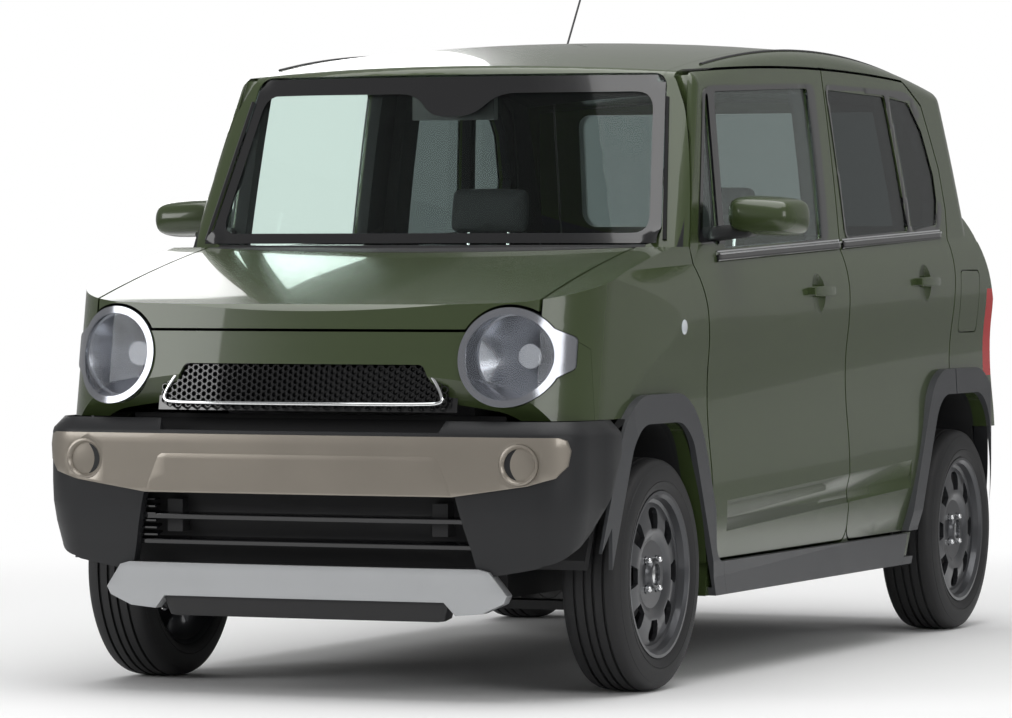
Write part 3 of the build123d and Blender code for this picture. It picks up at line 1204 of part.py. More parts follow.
# Wheels
for axle, axle_y, track in (("front", FRONT_AXLE_Y, FRONT_TRACK), ("rear", REAR_AXLE_Y, REAR_TRACK)):
    centre = (track / 2, axle_y, WHEEL_Z)
    rim = turned([(w, r) for w, r in RIM_PROFILE], centre)
    with BuildPart() as vented_rim:
        add(rim)
        with BuildSketch(Plane.YZ.offset(centre[0] - RIM_FLANGE_RADIUS)):
            with Locations((axle_y, WHEEL_Z)):
                with PolarLocations(RIM_HOLE_CIRCLE, RIM_HOLES):
                    Circle(RIM_HOLE_RADIUS)
        extrude(amount=2 * RIM_FLANGE_RADIUS, mode=Mode.SUBTRACT)
    save_pair(vented_rim.part, f"rim_{axle}")
    save_pair(turned([(w, r) for w, r in TYRE_PROFILE], centre), f"tyre_{axle}")

# Steering knuckles with hub, disc and calliper
hub_x = FRONT_TRACK / 2
with BuildPart() as knuckle:
    add(rod((hub_x - KNUCKLE_INNER, FRONT_AXLE_Y, WHEEL_Z), (hub_x + SPINDLE_REACH, FRONT_AXLE_Y, WHEEL_Z),
            HUB_BORE_RADIUS - HUB_CLEARANCE))
    add(rod((hub_x - DISC_OUTER, FRONT_AXLE_Y, WHEEL_Z), (hub_x + HUB_FACE, FRONT_AXLE_Y, WHEEL_Z), HUB_RADIUS))
    add(rod((hub_x - DISC_OUTER - DISC_WIDTH, FRONT_AXLE_Y, WHEEL_Z), (hub_x - DISC_OUTER, FRONT_AXLE_Y, WHEEL_Z),
            DISC_RADIUS))
    add(box_between(hub_x - KNUCKLE_INNER, hub_x - DISC_OUTER - DISC_WIDTH, FRONT_AXLE_Y - KNUCKLE_HALF,
                    FRONT_AXLE_Y + KNUCKLE_HALF, *KNUCKLE_Z))
    add(box_between(hub_x - KNUCKLE_INNER, hub_x, FRONT_AXLE_Y + CALLIPER_Y[0], FRONT_AXLE_Y + CALLIPER_Y[1],
                    WHEEL_Z - CALLIPER_HALF, WHEEL_Z + CALLIPER_HALF))
save_pair(knuckle.part, "knuckle")

# Front suspension, rear axle, exhaust, tank and engine
with BuildPart() as front_suspension:
    add(both_sides(rod((STRUT_X, FRONT_AXLE_Y, STRUT_Z[0]), (STRUT_X, FRONT_AXLE_Y, STRUT_Z[1]), STRUT_RADIUS)))
    add(box_between(-ARM_REACH, ARM_REACH, FRONT_AXLE_Y - ARM_HALF, FRONT_AXLE_Y + ARM_HALF, *ARM_Z))
    add(box_between(-ENGINE_HALF, ENGINE_HALF, FRONT_AXLE_Y - ARM_HALF, FRONT_AXLE_Y + ARM_HALF, ARM_Z[0],
                    ENGINE_Z[0] - SEAT_GAP))
    add(both_sides(box_between(*BALL_JOINT_X, FRONT_AXLE_Y - BALL_JOINT_HALF, FRONT_AXLE_Y + BALL_JOINT_HALF, ARM_Z[0],
                               KNUCKLE_Z[0] - SEAT_GAP)))
save(front_suspension.part, "front_suspension")
rear_x = REAR_TRACK / 2
with BuildPart() as rear_axle:
    add(rod((-rear_x - SPINDLE_REACH, REAR_AXLE_Y, WHEEL_Z), (rear_x + SPINDLE_REACH, REAR_AXLE_Y, WHEEL_Z),
            HUB_BORE_RADIUS - HUB_CLEARANCE))
    add(rod((-rear_x, REAR_AXLE_Y, WHEEL_Z), (rear_x, REAR_AXLE_Y, WHEEL_Z), BEAM_RADIUS))
    for side in (-1, 1):
        add(rod((side * (rear_x - DISC_OUTER - DISC_WIDTH), REAR_AXLE_Y, WHEEL_Z),
                (side * (rear_x + HUB_FACE), REAR_AXLE_Y, WHEEL_Z), DRUM_RADIUS))
        add(rod((side * SPRING_X, REAR_AXLE_Y, WHEEL_Z), (side * SPRING_X, REAR_AXLE_Y, REAR_FLOOR_Z - SEAT_GAP),
                SPRING_RADIUS))
        add(box_between(side * SPRING_X - SPRING_RADIUS, side * SPRING_X + SPRING_RADIUS, TRAILING_ARM_Y, REAR_AXLE_Y,
                        *TRAILING_ARM_Z))
        add(box_between(side * SPRING_X - SPRING_RADIUS, side * SPRING_X + SPRING_RADIUS, TRAILING_ARM_Y,
                        TRAILING_ARM_Y + 2 * SPRING_RADIUS, TRAILING_ARM_Z[0], REAR_FLOOR_Z - SEAT_GAP))
save(rear_axle.part, "rear_axle")
save(box_between(-ENGINE_HALF, ENGINE_HALF, *ENGINE_Y, *ENGINE_Z), "engine_block")
pipe_z = FLOOR_Z - SEAT_GAP - PIPE_RADIUS
with BuildPart() as exhaust:
    add(rod((PIPE_X, ENGINE_Y[1] + 2 * PIPE_RADIUS, pipe_z), (PIPE_X, TAIL_PANEL_Y + TAIL_PANEL, pipe_z), PIPE_RADIUS))
    add(box_between(PIPE_X - PIPE_RADIUS, PIPE_X + PIPE_RADIUS, ENGINE_Y[1] + SEAT_GAP, ENGINE_Y[1] + 3 * PIPE_RADIUS,
                    pipe_z, ENGINE_Z[0] + 4 * PIPE_RADIUS))
    add(box_between(PIPE_X - MUFFLER[0], PIPE_X + MUFFLER[0], *MUFFLER_Y, *MUFFLER_Z))
    add(box_between(PIPE_X - PIPE_RADIUS, PIPE_X + PIPE_RADIUS, *MUFFLER_Y, MUFFLER_Z[1], REAR_FLOOR_Z - SEAT_GAP))
save(exhaust.part, "exhaust")
save(box_between(-TANK_HALF, TANK_HALF, *TANK_Y, TANK_Z, REAR_FLOOR_Z - SEAT_GAP), "fuel_tank")

# Cabin: dashboard, steering, seats and interior mirror
dash_side = [(BULKHEAD_Y + BULKHEAD + SEAT_GAP, DASH_Z[1]), (BULKHEAD_Y + BULKHEAD + SEAT_GAP, DASH_Z[0]), *DASH_FACE]
save(common(side_prism(dash_side, -DASH_HALF, DASH_HALF), INNER), "dashboard")
lean = radians(COLUMN_LEAN)
axis_y, axis_z = cos(lean), sin(lean)
wheel_plane = Plane(origin=WHEEL_CENTRE, x_dir=(1, 0, 0), z_dir=(0, axis_y, axis_z))


def along_column(distance):
    """Point on the steering column, measured from the wheel's centre towards the driver."""
    return (WHEEL_CENTRE[0], WHEEL_CENTRE[1] + distance * axis_y, WHEEL_CENTRE[2] + distance * axis_z)


with BuildPart(wheel_plane) as steering_wheel:
    Torus(STEERING_RADIUS, STEERING_RIM)
    Box(2 * STEERING_RADIUS, STEERING_SPOKE, STEERING_RIM)
    with Locations((0, -STEERING_RADIUS / 2, 0)):
        Box(STEERING_SPOKE, STEERING_RADIUS, STEERING_RIM)
    with Locations((0, 0, -STEERING_HUB_DEPTH / 2)):
        Cylinder(STEERING_HUB, STEERING_HUB_DEPTH + STEERING_RIM)
save(steering_wheel.part, "steering_wheel")
hub_foot = STEERING_HUB_DEPTH + STEERING_RIM + GAP
column = rod(along_column(-COLUMN_REACH), along_column(-hub_foot), COLUMN_RADIUS)
save(cut_from(column, side_prism(dash_side, -DASH_HALF, DASH_HALF)), "steering_column")


def upright_piece(outlines, x_from, x_to):
    """Seat from the outlines of its parts, seen from the side."""
    with BuildPart() as seat:
        for outline in outlines:
            add(side_prism(outline, x_from, x_to))
    return seat.part


front_seat = upright_piece(FRONT_SEAT, SEAT_X[0], SEAT_X[1])
with BuildPart() as front_seats:
    add(front_seat)
    add(side_prism(FRONT_HEADREST, *HEADREST_X))
    add(box_between(SEAT_X[0] + GAP, SEAT_X[1] - 10 * GAP, *SEAT_BASE_Y, FLOOR_Z + FLOOR + SEAT_GAP, SEAT_BASE_Z))
    mirror(about=Plane.YZ)
save(front_seats.part, "front_seats")
save(upright_piece(REAR_SEAT, -REAR_SEAT_HALF, REAR_SEAT_HALF), "rear_seat")

glass_back = bowed_prism(SCREEN_FOOT_Y, SCREEN_FOOT_Z, SCREEN_LEAN, SCREEN_BOW_RADIUS, -1, GLASS_SET_BACK + GLASS,
                         BASE_Z, HEIGHT)
with BuildPart() as interior_mirror:
    add(box_between(-ROOM_MIRROR_STALK, ROOM_MIRROR_STALK, FRONT_AXLE_Y, ROOM_MIRROR_Y, ROOM_MIRROR_Z[1] - 30,
                    ROOM_MIRROR_Z[1]))
    add(glass_back, mode=Mode.INTERSECT)
    add(box_between(-ROOM_MIRROR_HALF, ROOM_MIRROR_HALF, ROOM_MIRROR_Y, ROOM_MIRROR_Y + 25, *ROOM_MIRROR_Z))
save(interior_mirror.part, "interior_mirror")

antenna_lean = radians(ANTENNA_LEAN)
roof_drop = (ANTENNA_FOOT[0] ** 2 + (ANTENNA_FOOT[1] - ROOF_APEX_Y) ** 2) / (2 * ROOF_RADIUS)
antenna_foot = (ANTENNA_FOOT[0], ANTENNA_FOOT[1], HEIGHT - roof_drop)
antenna_tip = (antenna_foot[0], antenna_foot[1] + ANTENNA_LENGTH * sin(antenna_lean),
               antenna_foot[2] + ANTENNA_LENGTH * cos(antenna_lean))
with BuildPart() as antenna:
    with BuildSketch(Plane(origin=antenna_foot, z_dir=Vector(*antenna_tip) - Vector(*antenna_foot))):
        Circle(ANTENNA_RADIUS)
    extrude(amount=ANTENNA_LENGTH)
    with Locations(antenna_foot):
        Cylinder(ANTENNA_BASE[0], 2 * ANTENNA_BASE[1])
    add(OUTER, mode=Mode.SUBTRACT)
save(antenna.part, "antenna")
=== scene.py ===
"""Dresses the CAD frame of a small olive-green hatchback with finishes and detailed pieces."""

import json
import logging
import math
from dataclasses import dataclass, field
from enum import Enum
from typing import Callable, Sequence

import bpy
from mathutils import Matrix, Vector
from mathutils.bvhtree import BVHTree
from mathutils.geometry import barycentric_transform

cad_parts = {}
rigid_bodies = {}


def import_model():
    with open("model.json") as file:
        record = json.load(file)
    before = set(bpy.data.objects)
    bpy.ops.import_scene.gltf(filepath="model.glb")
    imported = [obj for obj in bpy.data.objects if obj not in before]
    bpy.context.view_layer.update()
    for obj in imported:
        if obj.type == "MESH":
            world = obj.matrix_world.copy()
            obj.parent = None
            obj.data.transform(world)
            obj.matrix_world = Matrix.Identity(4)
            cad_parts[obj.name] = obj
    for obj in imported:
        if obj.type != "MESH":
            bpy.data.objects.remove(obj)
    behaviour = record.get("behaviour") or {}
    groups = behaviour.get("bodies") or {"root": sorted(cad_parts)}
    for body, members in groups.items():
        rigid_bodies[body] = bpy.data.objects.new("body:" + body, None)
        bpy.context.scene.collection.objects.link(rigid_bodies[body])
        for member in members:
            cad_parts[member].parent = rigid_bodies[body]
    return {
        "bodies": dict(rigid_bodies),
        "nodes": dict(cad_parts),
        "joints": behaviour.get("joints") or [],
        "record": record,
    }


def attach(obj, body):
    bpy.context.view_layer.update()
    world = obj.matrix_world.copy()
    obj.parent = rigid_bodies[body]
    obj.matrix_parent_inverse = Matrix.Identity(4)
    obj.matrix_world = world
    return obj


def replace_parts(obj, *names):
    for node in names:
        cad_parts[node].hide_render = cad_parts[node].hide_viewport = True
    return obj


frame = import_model()

LOG = logging.getLogger("hatchback")
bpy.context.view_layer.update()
NODES = frame["nodes"]
FRONT_AXLE_Y = -1.1075
WHEEL_Z = 0.2895
BELT_Z = 1.097
SIDE_LEAN = 0.1166
SCREEN_FOOT_Z = 1.106
SCREEN_RAKE = 0.645


# ---------------------------------------------------------------- finishes


class Grain(Enum):
    """Fine relief of a surface."""

    NONE = 0
    ORANGE_PEEL = 1
    LEATHER = 2
    WEAVE = 3


def socket_group(name: str, inputs: dict[str, float], outputs: dict[str, str]) -> bpy.types.NodeTree:
    """Makes an empty shader node group.

    Args:
        name: name of the group.
        inputs: float sockets with their default values.
        outputs: sockets with their types.

    Returns:
        The group, with its input and output nodes in place.
    """
    group = bpy.data.node_groups.new(name, "ShaderNodeTree")
    for label, value in inputs.items():
        socket = group.interface.new_socket(label, in_out="INPUT", socket_type="NodeSocketFloat")
        socket.default_value = value
    for label, kind in outputs.items():
        group.interface.new_socket(label, in_out="OUTPUT", socket_type=kind)
    group.nodes.new("NodeGroupInput")
    group.nodes.new("NodeGroupOutput")
    return group


def noise_group() -> bpy.types.NodeTree:
    """Builds the group that gives the fine unevenness used by every finish.

    Returns:
        A group with a fine and a broad noise value in Object coordinates.
    """
    group = socket_group(
        "fine_unevenness",
        {"Fine Scale": 900.0, "Broad Scale": 6.0},
        {"Fine": "NodeSocketFloat", "Broad": "NodeSocketFloat"},
    )
    nodes, links = group.nodes, group.links
    source, sink = nodes["Group Input"], nodes["Group Output"]
    coordinates = nodes.new("ShaderNodeTexCoord")
    for label, detail in (("Fine", 2.0), ("Broad", 4.0)):
        noise = nodes.new("ShaderNodeTexNoise")
        noise.inputs["Detail"].default_value = detail
        links.new(coordinates.outputs["Object"], noise.inputs["Vector"])
        links.new(source.outputs[f"{label} Scale"], noise.inputs["Scale"])
        links.new(noise.outputs["Fac"], sink.inputs[label])
    return group


def cabin_group() -> bpy.types.NodeTree:
    """Builds the group that tells the cabin side of the body walls from their outside.

    Returns:
        A group whose Inside value is 1 on faces that look into the cabin.
    """
    group = socket_group("cabin_side", {"Depth": 0.014}, {"Inside": "NodeSocketFloat"})
    nodes, links = group.nodes, group.links
    source, sink = nodes["Group Input"], nodes["Group Output"]
    split = nodes.new("ShaderNodeSeparateXYZ")
    links.new(nodes.new("ShaderNodeTexCoord").outputs["Object"], split.inputs["Vector"])

    def step(operation: str, first: object, second: object = 0.0) -> bpy.types.NodeSocket:
        """Adds one sum node.

        Args:
            operation: kind of sum.
            first: a number or a socket.
            second: the same.

        Returns:
            The sum's socket.
        """
        node = nodes.new("ShaderNodeMath")
        node.operation = operation
        for number, value in enumerate((first, second)):
            if isinstance(value, (int, float)):
                node.inputs[number].default_value = value
            else:
                links.new(value, node.inputs[number])
        return node.outputs["Value"]

    x, y, z = split.outputs["X"], split.outputs["Y"], split.outputs["Z"]
    across = step("ABSOLUTE", x)
    lean = step("MULTIPLY", step("MAXIMUM", step("SUBTRACT", z, BELT_Z), 0.0), SIDE_LEAN)
    side = step("SUBTRACT", step("SUBTRACT", 0.700, lean), across)
    along = step("ABSOLUTE", step("SUBTRACT", y, 0.36))
    spread = step("ADD", step("POWER", along, 2.0), step("POWER", across, 2.0))
    roof = step("SUBTRACT", step("SUBTRACT", 1.657, step("MULTIPLY", spread, 0.083)), z)
    rake = step("MULTIPLY", step("SUBTRACT", z, SCREEN_FOOT_Z), 0.6)
    screen = step("SUBTRACT", y, step("ADD", -0.873, rake))
    lift = step("MULTIPLY", step("MAXIMUM", step("SUBTRACT", z, 0.95), 0.0), 0.62)
    tail = step("SUBTRACT", step("SUBTRACT", 1.62, lift), y)
    floor = step("SUBTRACT", z, 0.36)
    least = side
    for value in (roof, screen, tail, floor):
        least = step("MINIMUM", least, value)
    links.new(step("GREATER_THAN", least, source.outputs["Depth"]), sink.inputs["Inside"])
    return group


@dataclass(frozen=True)
class Finish:
    """Opaque finish of one kind of surface.

    Args:
        name: material name.
        color: linear base colour.
        roughness: middle roughness.
        metallic: 1 for bare metal.
        coat: weight of a clear coat.
        grain: fine relief.
        relief: strength of that relief.
        scale: size of the relief, as a noise scale.
        spread: how far the roughness varies.
        specular: specular level.
    """

    name: str
    color: tuple[float, float, float]
    roughness: float = 0.5
    metallic: float = 0.0
    coat: float = 0.0
    grain: Grain = Grain.NONE
    relief: float = 0.0
    scale: float = 900.0
    spread: float = 0.06
    specular: float = 0.5
    lined: bool = False

    def build(self) -> bpy.types.Material:
        """Makes the material, once for each name.

        Returns:
            The material.
        """
        made = bpy.data.materials.get(self.name)
        if made:
            return made
        material = bpy.data.materials.new(self.name)
        material.use_nodes = True
        nodes, links = material.node_tree.nodes, material.node_tree.links
        shader = nodes["Principled BSDF"]
        shader.inputs["Metallic"].default_value = self.metallic
        shader.inputs["Coat Weight"].default_value = self.coat
        shader.inputs["Coat Roughness"].default_value = 0.03
        shader.inputs["Specular IOR Level"].default_value = self.specular
        unevenness = nodes.new("ShaderNodeGroup")
        unevenness.node_tree = bpy.data.node_groups.get("fine_unevenness") or noise_group()
        unevenness.inputs["Fine Scale"].default_value = self.scale
        tone = nodes.new("ShaderNodeMapRange")
        tone.inputs["To Min"].default_value = self.roughness - self.spread
        tone.inputs["To Max"].default_value = self.roughness + self.spread
        links.new(unevenness.outputs["Broad"], tone.inputs["Value"])
        links.new(tone.outputs["Result"], shader.inputs["Roughness"])
        self.tint(material, unevenness)
        if self.grain is not Grain.NONE:
            bump = nodes.new("ShaderNodeBump")
            bump.inputs["Strength"].default_value = self.relief
            bump.inputs["Distance"].default_value = 0.0005
            links.new(self.height(material, unevenness), bump.inputs["Height"])
            links.new(bump.outputs["Normal"], shader.inputs["Normal"])
        return material

    def tint(self, material: bpy.types.Material, unevenness: bpy.types.Node) -> None:
        """Gives the base colour its slight variation.

        Args:
            material: the material in the making.
            unevenness: its noise node.
        """
        nodes, links = material.node_tree.nodes, material.node_tree.links
        mix = nodes.new("ShaderNodeMix")
        mix.data_type = "RGBA"
        low = [channel * 0.94 for channel in self.color]
        high = [min(1.0, channel * 1.06) for channel in self.color]
        mix.inputs["A"].default_value = (*low, 1.0)
        mix.inputs["B"].default_value = (*high, 1.0)
        links.new(unevenness.outputs["Broad"], mix.inputs["Factor"])
        color = mix.outputs["Result"]
        if self.lined:
            color = self.line(material, color)
        links.new(color, nodes["Principled BSDF"].inputs["Base Color"])

    def line(self, material: bpy.types.Material, color: bpy.types.NodeSocket) -> bpy.types.NodeSocket:
        """Darkens and dulls the faces that look into the cabin.

        Args:
            material: the material in the making.
            color: colour of the painted outside.

        Returns:
            The socket with the colour of both.
        """
        nodes, links = material.node_tree.nodes, material.node_tree.links
        shader = nodes["Principled BSDF"]
        inside = nodes.new("ShaderNodeGroup")
        inside.node_tree = bpy.data.node_groups.get("cabin_side") or cabin_group()
        mix = nodes.new("ShaderNodeMix")
        mix.data_type = "RGBA"
        mix.inputs["B"].default_value = (0.016, 0.017, 0.018, 1.0)
        links.new(inside.outputs["Inside"], mix.inputs["Factor"])
        links.new(color, mix.inputs["A"])
        for label, low, high in (("Coat Weight", self.coat, 0.0), ("Roughness", self.roughness, 0.85)):
            blend = nodes.new("ShaderNodeMapRange")
            blend.inputs["To Min"].default_value = low
            blend.inputs["To Max"].default_value = high
            links.new(inside.outputs["Inside"], blend.inputs["Value"])
            links.new(blend.outputs["Result"], shader.inputs[label])
        return mix.outputs["Result"]

    def height(self, material: bpy.types.Material, unevenness: bpy.types.Node) -> bpy.types.NodeSocket:
        """Chooses the source of the relief.

        Args:
            material: the material in the making.
            unevenness: its noise node.

        Returns:
            The socket with the height.
        """
        nodes, links = material.node_tree.nodes, material.node_tree.links
        if self.grain is Grain.LEATHER:
            cells = nodes.new("ShaderNodeTexVoronoi")
            cells.inputs["Scale"].default_value = self.scale
            links.new(nodes.new("ShaderNodeTexCoord").outputs["Object"], cells.inputs["Vector"])
            return cells.outputs["Distance"]
        if self.grain is Grain.WEAVE:
            checks = nodes.new("ShaderNodeTexWave")
            checks.inputs["Scale"].default_value = self.scale
            checks.inputs["Distortion"].default_value = 1.5
            links.new(nodes.new("ShaderNodeTexCoord").outputs["Object"], checks.inputs["Vector"])
            return checks.outputs["Fac"]
        return unevenness.outputs["Fine"]


@dataclass(frozen=True)
class GlassFinish:
    """Clear or tinted glass or moulded lens.

    Args:
        name: material name.
        color: linear tint of what passes through.
        shade: how much light its shadow lets through.
        roughness: surface roughness.
        ior: index of refraction.
    """

    name: str
    color: tuple[float, float, float]
    shade: float = 0.85
    roughness: float = 0.0
    ior: float = 1.45

    def build(self) -> bpy.types.Material:
        """Makes the material, once for each name.

        Returns:
            The material.
        """
        made = bpy.data.materials.get(self.name)
        if made:
            return made
        material = bpy.data.materials.new(self.name)
        material.use_nodes = True
        nodes, links = material.node_tree.nodes, material.node_tree.links
        shader = nodes["Principled BSDF"]
        shader.inputs["Base Color"].default_value = (*self.color, 1.0)
        shader.inputs["Roughness"].default_value = self.roughness
        shader.inputs["IOR"].default_value = self.ior
        shader.inputs["Transmission Weight"].default_value = 1.0
        light_path = nodes.new("ShaderNodeLightPath")
        opacity = nodes.new("ShaderNodeMapRange")
        opacity.inputs["To Min"].default_value = 1.0
        opacity.inputs["To Max"].default_value = 1.0 - self.shade
        links.new(light_path.outputs["Is Shadow Ray"], opacity.inputs["Value"])
        links.new(opacity.outputs["Result"], shader.inputs["Alpha"])
        return material


PAINT = Finish("olive_paint", (0.040, 0.058, 0.020), 0.26, 0.0, 0.55, Grain.ORANGE_PEEL, 0.01, 240.0, 0.03,
               0.35, True)
BAND_PAINT = Finish("band_silver", (0.29, 0.26, 0.22), 0.34, 0.55, 0.3, Grain.ORANGE_PEEL, 0.02, 700.0, 0.03)
STRIP_SILVER = Finish("strip_silver", (0.42, 0.43, 0.44), 0.33, 0.6, 0.2, Grain.ORANGE_PEEL, 0.02, 700.0,
                      0.03)
CLADDING = Finish("grained_cladding", (0.016, 0.0165, 0.018), 0.42, 0.0, 0.0, Grain.LEATHER, 0.25, 1100.0,
                  0.06, 0.35)
ARCH_GREY = Finish("arch_cladding", (0.050, 0.052, 0.056), 0.40, 0.0, 0.0, Grain.LEATHER, 0.25, 1100.0,
                   0.06, 0.4)
BLACK_TRIM = Finish("black_moulding", (0.008, 0.008, 0.009), 0.38, 0.0, 0.0, Grain.LEATHER, 0.15, 1300.0)
GLOSS_BLACK = Finish("gloss_black", (0.004, 0.004, 0.005), 0.12, 0.0, 0.6)
CHROME = Finish("bright_chrome", (0.78, 0.79, 0.80), 0.09, 1.0, spread=0.03)
BEZEL = Finish("smoked_chrome", (0.33, 0.34, 0.37), 0.16, 0.9, spread=0.03)
REFLECTOR = Finish("reflector", (0.72, 0.74, 0.76), 0.12, 1.0, spread=0.03)
UNDERBODY = Finish("underbody_coat", (0.012, 0.012, 0.013), 0.75, 0.0, 0.0, Grain.ORANGE_PEEL, 0.4, 300.0)
CHASSIS = Finish("chassis_black", (0.016, 0.016, 0.017), 0.5)
CASTING = Finish("cast_metal", (0.16, 0.16, 0.165), 0.55, 0.8, 0.0, Grain.ORANGE_PEEL, 0.4, 400.0)
EXHAUST = Finish("exhaust_steel", (0.3, 0.28, 0.25), 0.45, 0.9)
WHEEL_PAINT = Finish("gunmetal_paint", (0.075, 0.077, 0.083), 0.32, 0.7, 0.35, Grain.ORANGE_PEEL, 0.02,
                     900.0, 0.03)
RUBBER = Finish("tyre_rubber", (0.012, 0.012, 0.013), 0.62, 0.0, 0.0, Grain.ORANGE_PEEL, 0.2, 1500.0)
DASH = Finish("dash_moulding", (0.014, 0.014, 0.016), 0.55, 0.0, 0.0, Grain.LEATHER, 0.3, 900.0)
SEAT_CLOTH = Finish("seat_cloth", (0.03, 0.032, 0.035), 0.85, 0.0, 0.0, Grain.WEAVE, 0.3, 160.0)
RED_LENS = Finish("red_lens", (0.30, 0.008, 0.008), 0.1, 0.0, 0.8)
CLEAR_GLASS = GlassFinish("green_tinted_glass", (0.80, 0.89, 0.855), 0.85, 0.0, 1.16)
PRIVACY_GLASS = GlassFinish("privacy_glass", (0.11, 0.13, 0.13), 0.4, 0.0, 1.25)
LENS = GlassFinish("clear_lens", (0.97, 0.98, 0.98), 0.95, 0.0, 1.2)
MARKER_WHITE = Finish("marker_lens", (0.62, 0.66, 0.70), 0.15, 0.0, 0.8)

NODE_FINISH: dict[str, Finish | GlassFinish] = {
    "bonnet": PAINT,
    "nose_panel": PAINT,
    "front_fenders": PAINT,
    "roof_panel": PAINT,
    "body_sides": PAINT,
    "fuel_flap": PAINT,
    "tailgate": PAINT,
    "front_door": PAINT,
    "rear_door": PAINT,
    "door_mirror": PAINT,
    "rear_bumper": CLADDING,
    "front_bumper": CLADDING,
    "side_claddings": ARCH_GREY,
    "rear_door_cladding": ARCH_GREY,
    "bumper_band": BAND_PAINT,
    "skid_strip": STRIP_SILVER,
    "cowl_panel": BLACK_TRIM,
    "front_lip": BLACK_TRIM,
    "lower_grille": BLACK_TRIM,
    "upper_grille": BLACK_TRIM,
    "interior_mirror": BLACK_TRIM,
    "antenna": BLACK_TRIM,
    "headlamp_housings": BEZEL,
    "headlamp_lenses": LENS,
    "tail_lamps": RED_LENS,
    "windscreen": CLEAR_GLASS,
    "front_door_glass": CLEAR_GLASS,
    "rear_door_glass": PRIVACY_GLASS,
    "tailgate_glass": PRIVACY_GLASS,
    "underbody": UNDERBODY,
    "wheel_houses": UNDERBODY,
    "boot_board": DASH,
    "knuckle": CASTING,
    "engine_block": CASTING,
    "front_suspension": CHASSIS,
    "rear_axle": CHASSIS,
    "fuel_tank": CHASSIS,
    "exhaust": EXHAUST,
    "rim_front": WHEEL_PAINT,
    "rim_rear": WHEEL_PAINT,
    "tyre_front": RUBBER,
    "tyre_rear": RUBBER,
    "dashboard": DASH,
    "steering_column": DASH,
    "steering_wheel": DASH,
    "front_seats": SEAT_CLOTH,
    "rear_seat": SEAT_CLOTH,
}


# ---------------------------------------------------------------- shared tools


def base_name(name: str) -> str:
    """Node name without its side."""
    return name.removesuffix("_left").removesuffix("_right")


def deselect() -> None:
    """Leaves edit mode and selects nothing."""
    if bpy.context.object and bpy.context.object.mode != "OBJECT":
        bpy.ops.object.mode_set(mode="OBJECT")
    bpy.ops.object.select_all(action="DESELECT")


def dress(piece: bpy.types.Object, finish: Finish | GlassFinish) -> None:
    """Gives a piece one finish all over.

    Args:
        piece: the mesh object.
        finish: its finish.
    """
    piece.data.materials.clear()
    piece.data.materials.append(finish.build())


Point = tuple[float, float, float]
Outline = list[tuple[float, float]]
Flat = tuple[tuple[float, float], ...]


def finish_piece(
    piece: bpy.types.Object, name: str, body: str, slot: str, finish: Finish | GlassFinish, smooth: float = 35.0
) -> bpy.types.Object:
    """Names, dresses and mounts a finished piece.

    Args:
        piece: the mesh object.
        name: its name.
        body: the CAD body that carries it.
        slot: the record's material slot; not used.
        finish: its finish.
        smooth: angle under which its edges are shaded smooth.

    Returns:
        The piece.
    """
    deselect()
    piece.select_set(True)
    bpy.context.view_layer.objects.active = piece
    bpy.ops.object.transform_apply(location=True, rotation=True, scale=True)
    bpy.ops.object.mode_set(mode="EDIT")
    bpy.ops.mesh.select_all(action="SELECT")
    bpy.ops.mesh.remove_doubles(threshold=0.00001)
    bpy.ops.mesh.normals_make_consistent(inside=False)
    bpy.ops.object.mode_set(mode="OBJECT")
    bpy.ops.object.shade_smooth_by_angle(angle=math.radians(smooth))
    piece.name = name
    dress(piece, finish)
    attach(piece, body)
    LOG.info("made %s with %d faces", name, len(piece.data.polygons))
    return piece


def applied(piece: bpy.types.Object, kind: str, **settings: object) -> bpy.types.Object:
    """Adds one modifier and applies it.

    Args:
        piece: the mesh object.
        kind: modifier type.
        settings: its properties.

    Returns:
        The piece.
    """
    deselect()
    piece.select_set(True)
    bpy.context.view_layer.objects.active = piece
    modifier = piece.modifiers.new(kind.lower(), kind)
    for label, value in settings.items():
        setattr(modifier, label, value)
    bpy.ops.object.modifier_apply(modifier=modifier.name)
    return piece


def eased(piece: bpy.types.Object, width: float, segments: int = 2, angle: float = 40.0) -> bpy.types.Object:
    """Rounds the sharp edges of a piece.

    Args:
        piece: the mesh object.
        width: how wide each edge is taken off.
        segments: faces across the rounding.
        angle: only edges sharper than this are rounded.

    Returns:
        The piece.
    """
    return applied(
        piece, "BEVEL", width=width, segments=segments, limit_method="ANGLE", angle_limit=math.radians(angle),
        use_clamp_overlap=True,
    )


def sheet(columns: int, rows: int, place: Callable[[float, float], Vector]) -> bpy.types.Object:
    """Spreads a grid of faces over a shape.

    Args:
        columns: faces along the first way.
        rows: faces along the second way.
        place: gives the point for two shares from 0 to 1.

    Returns:
        The open sheet.
    """
    deselect()
    bpy.ops.mesh.primitive_grid_add(x_subdivisions=columns, y_subdivisions=rows, size=2.0)
    grid = bpy.context.object
    for vertex in grid.data.vertices:
        vertex.co = place((vertex.co.x + 1.0) / 2.0, (vertex.co.y + 1.0) / 2.0)
    return grid


def box_line(left: float, foot: float, right: float, head: float) -> Outline:
    """Rectangle as an outline, from its two corners."""
    return [(left, foot), (right, foot), (right, head), (left, head)]


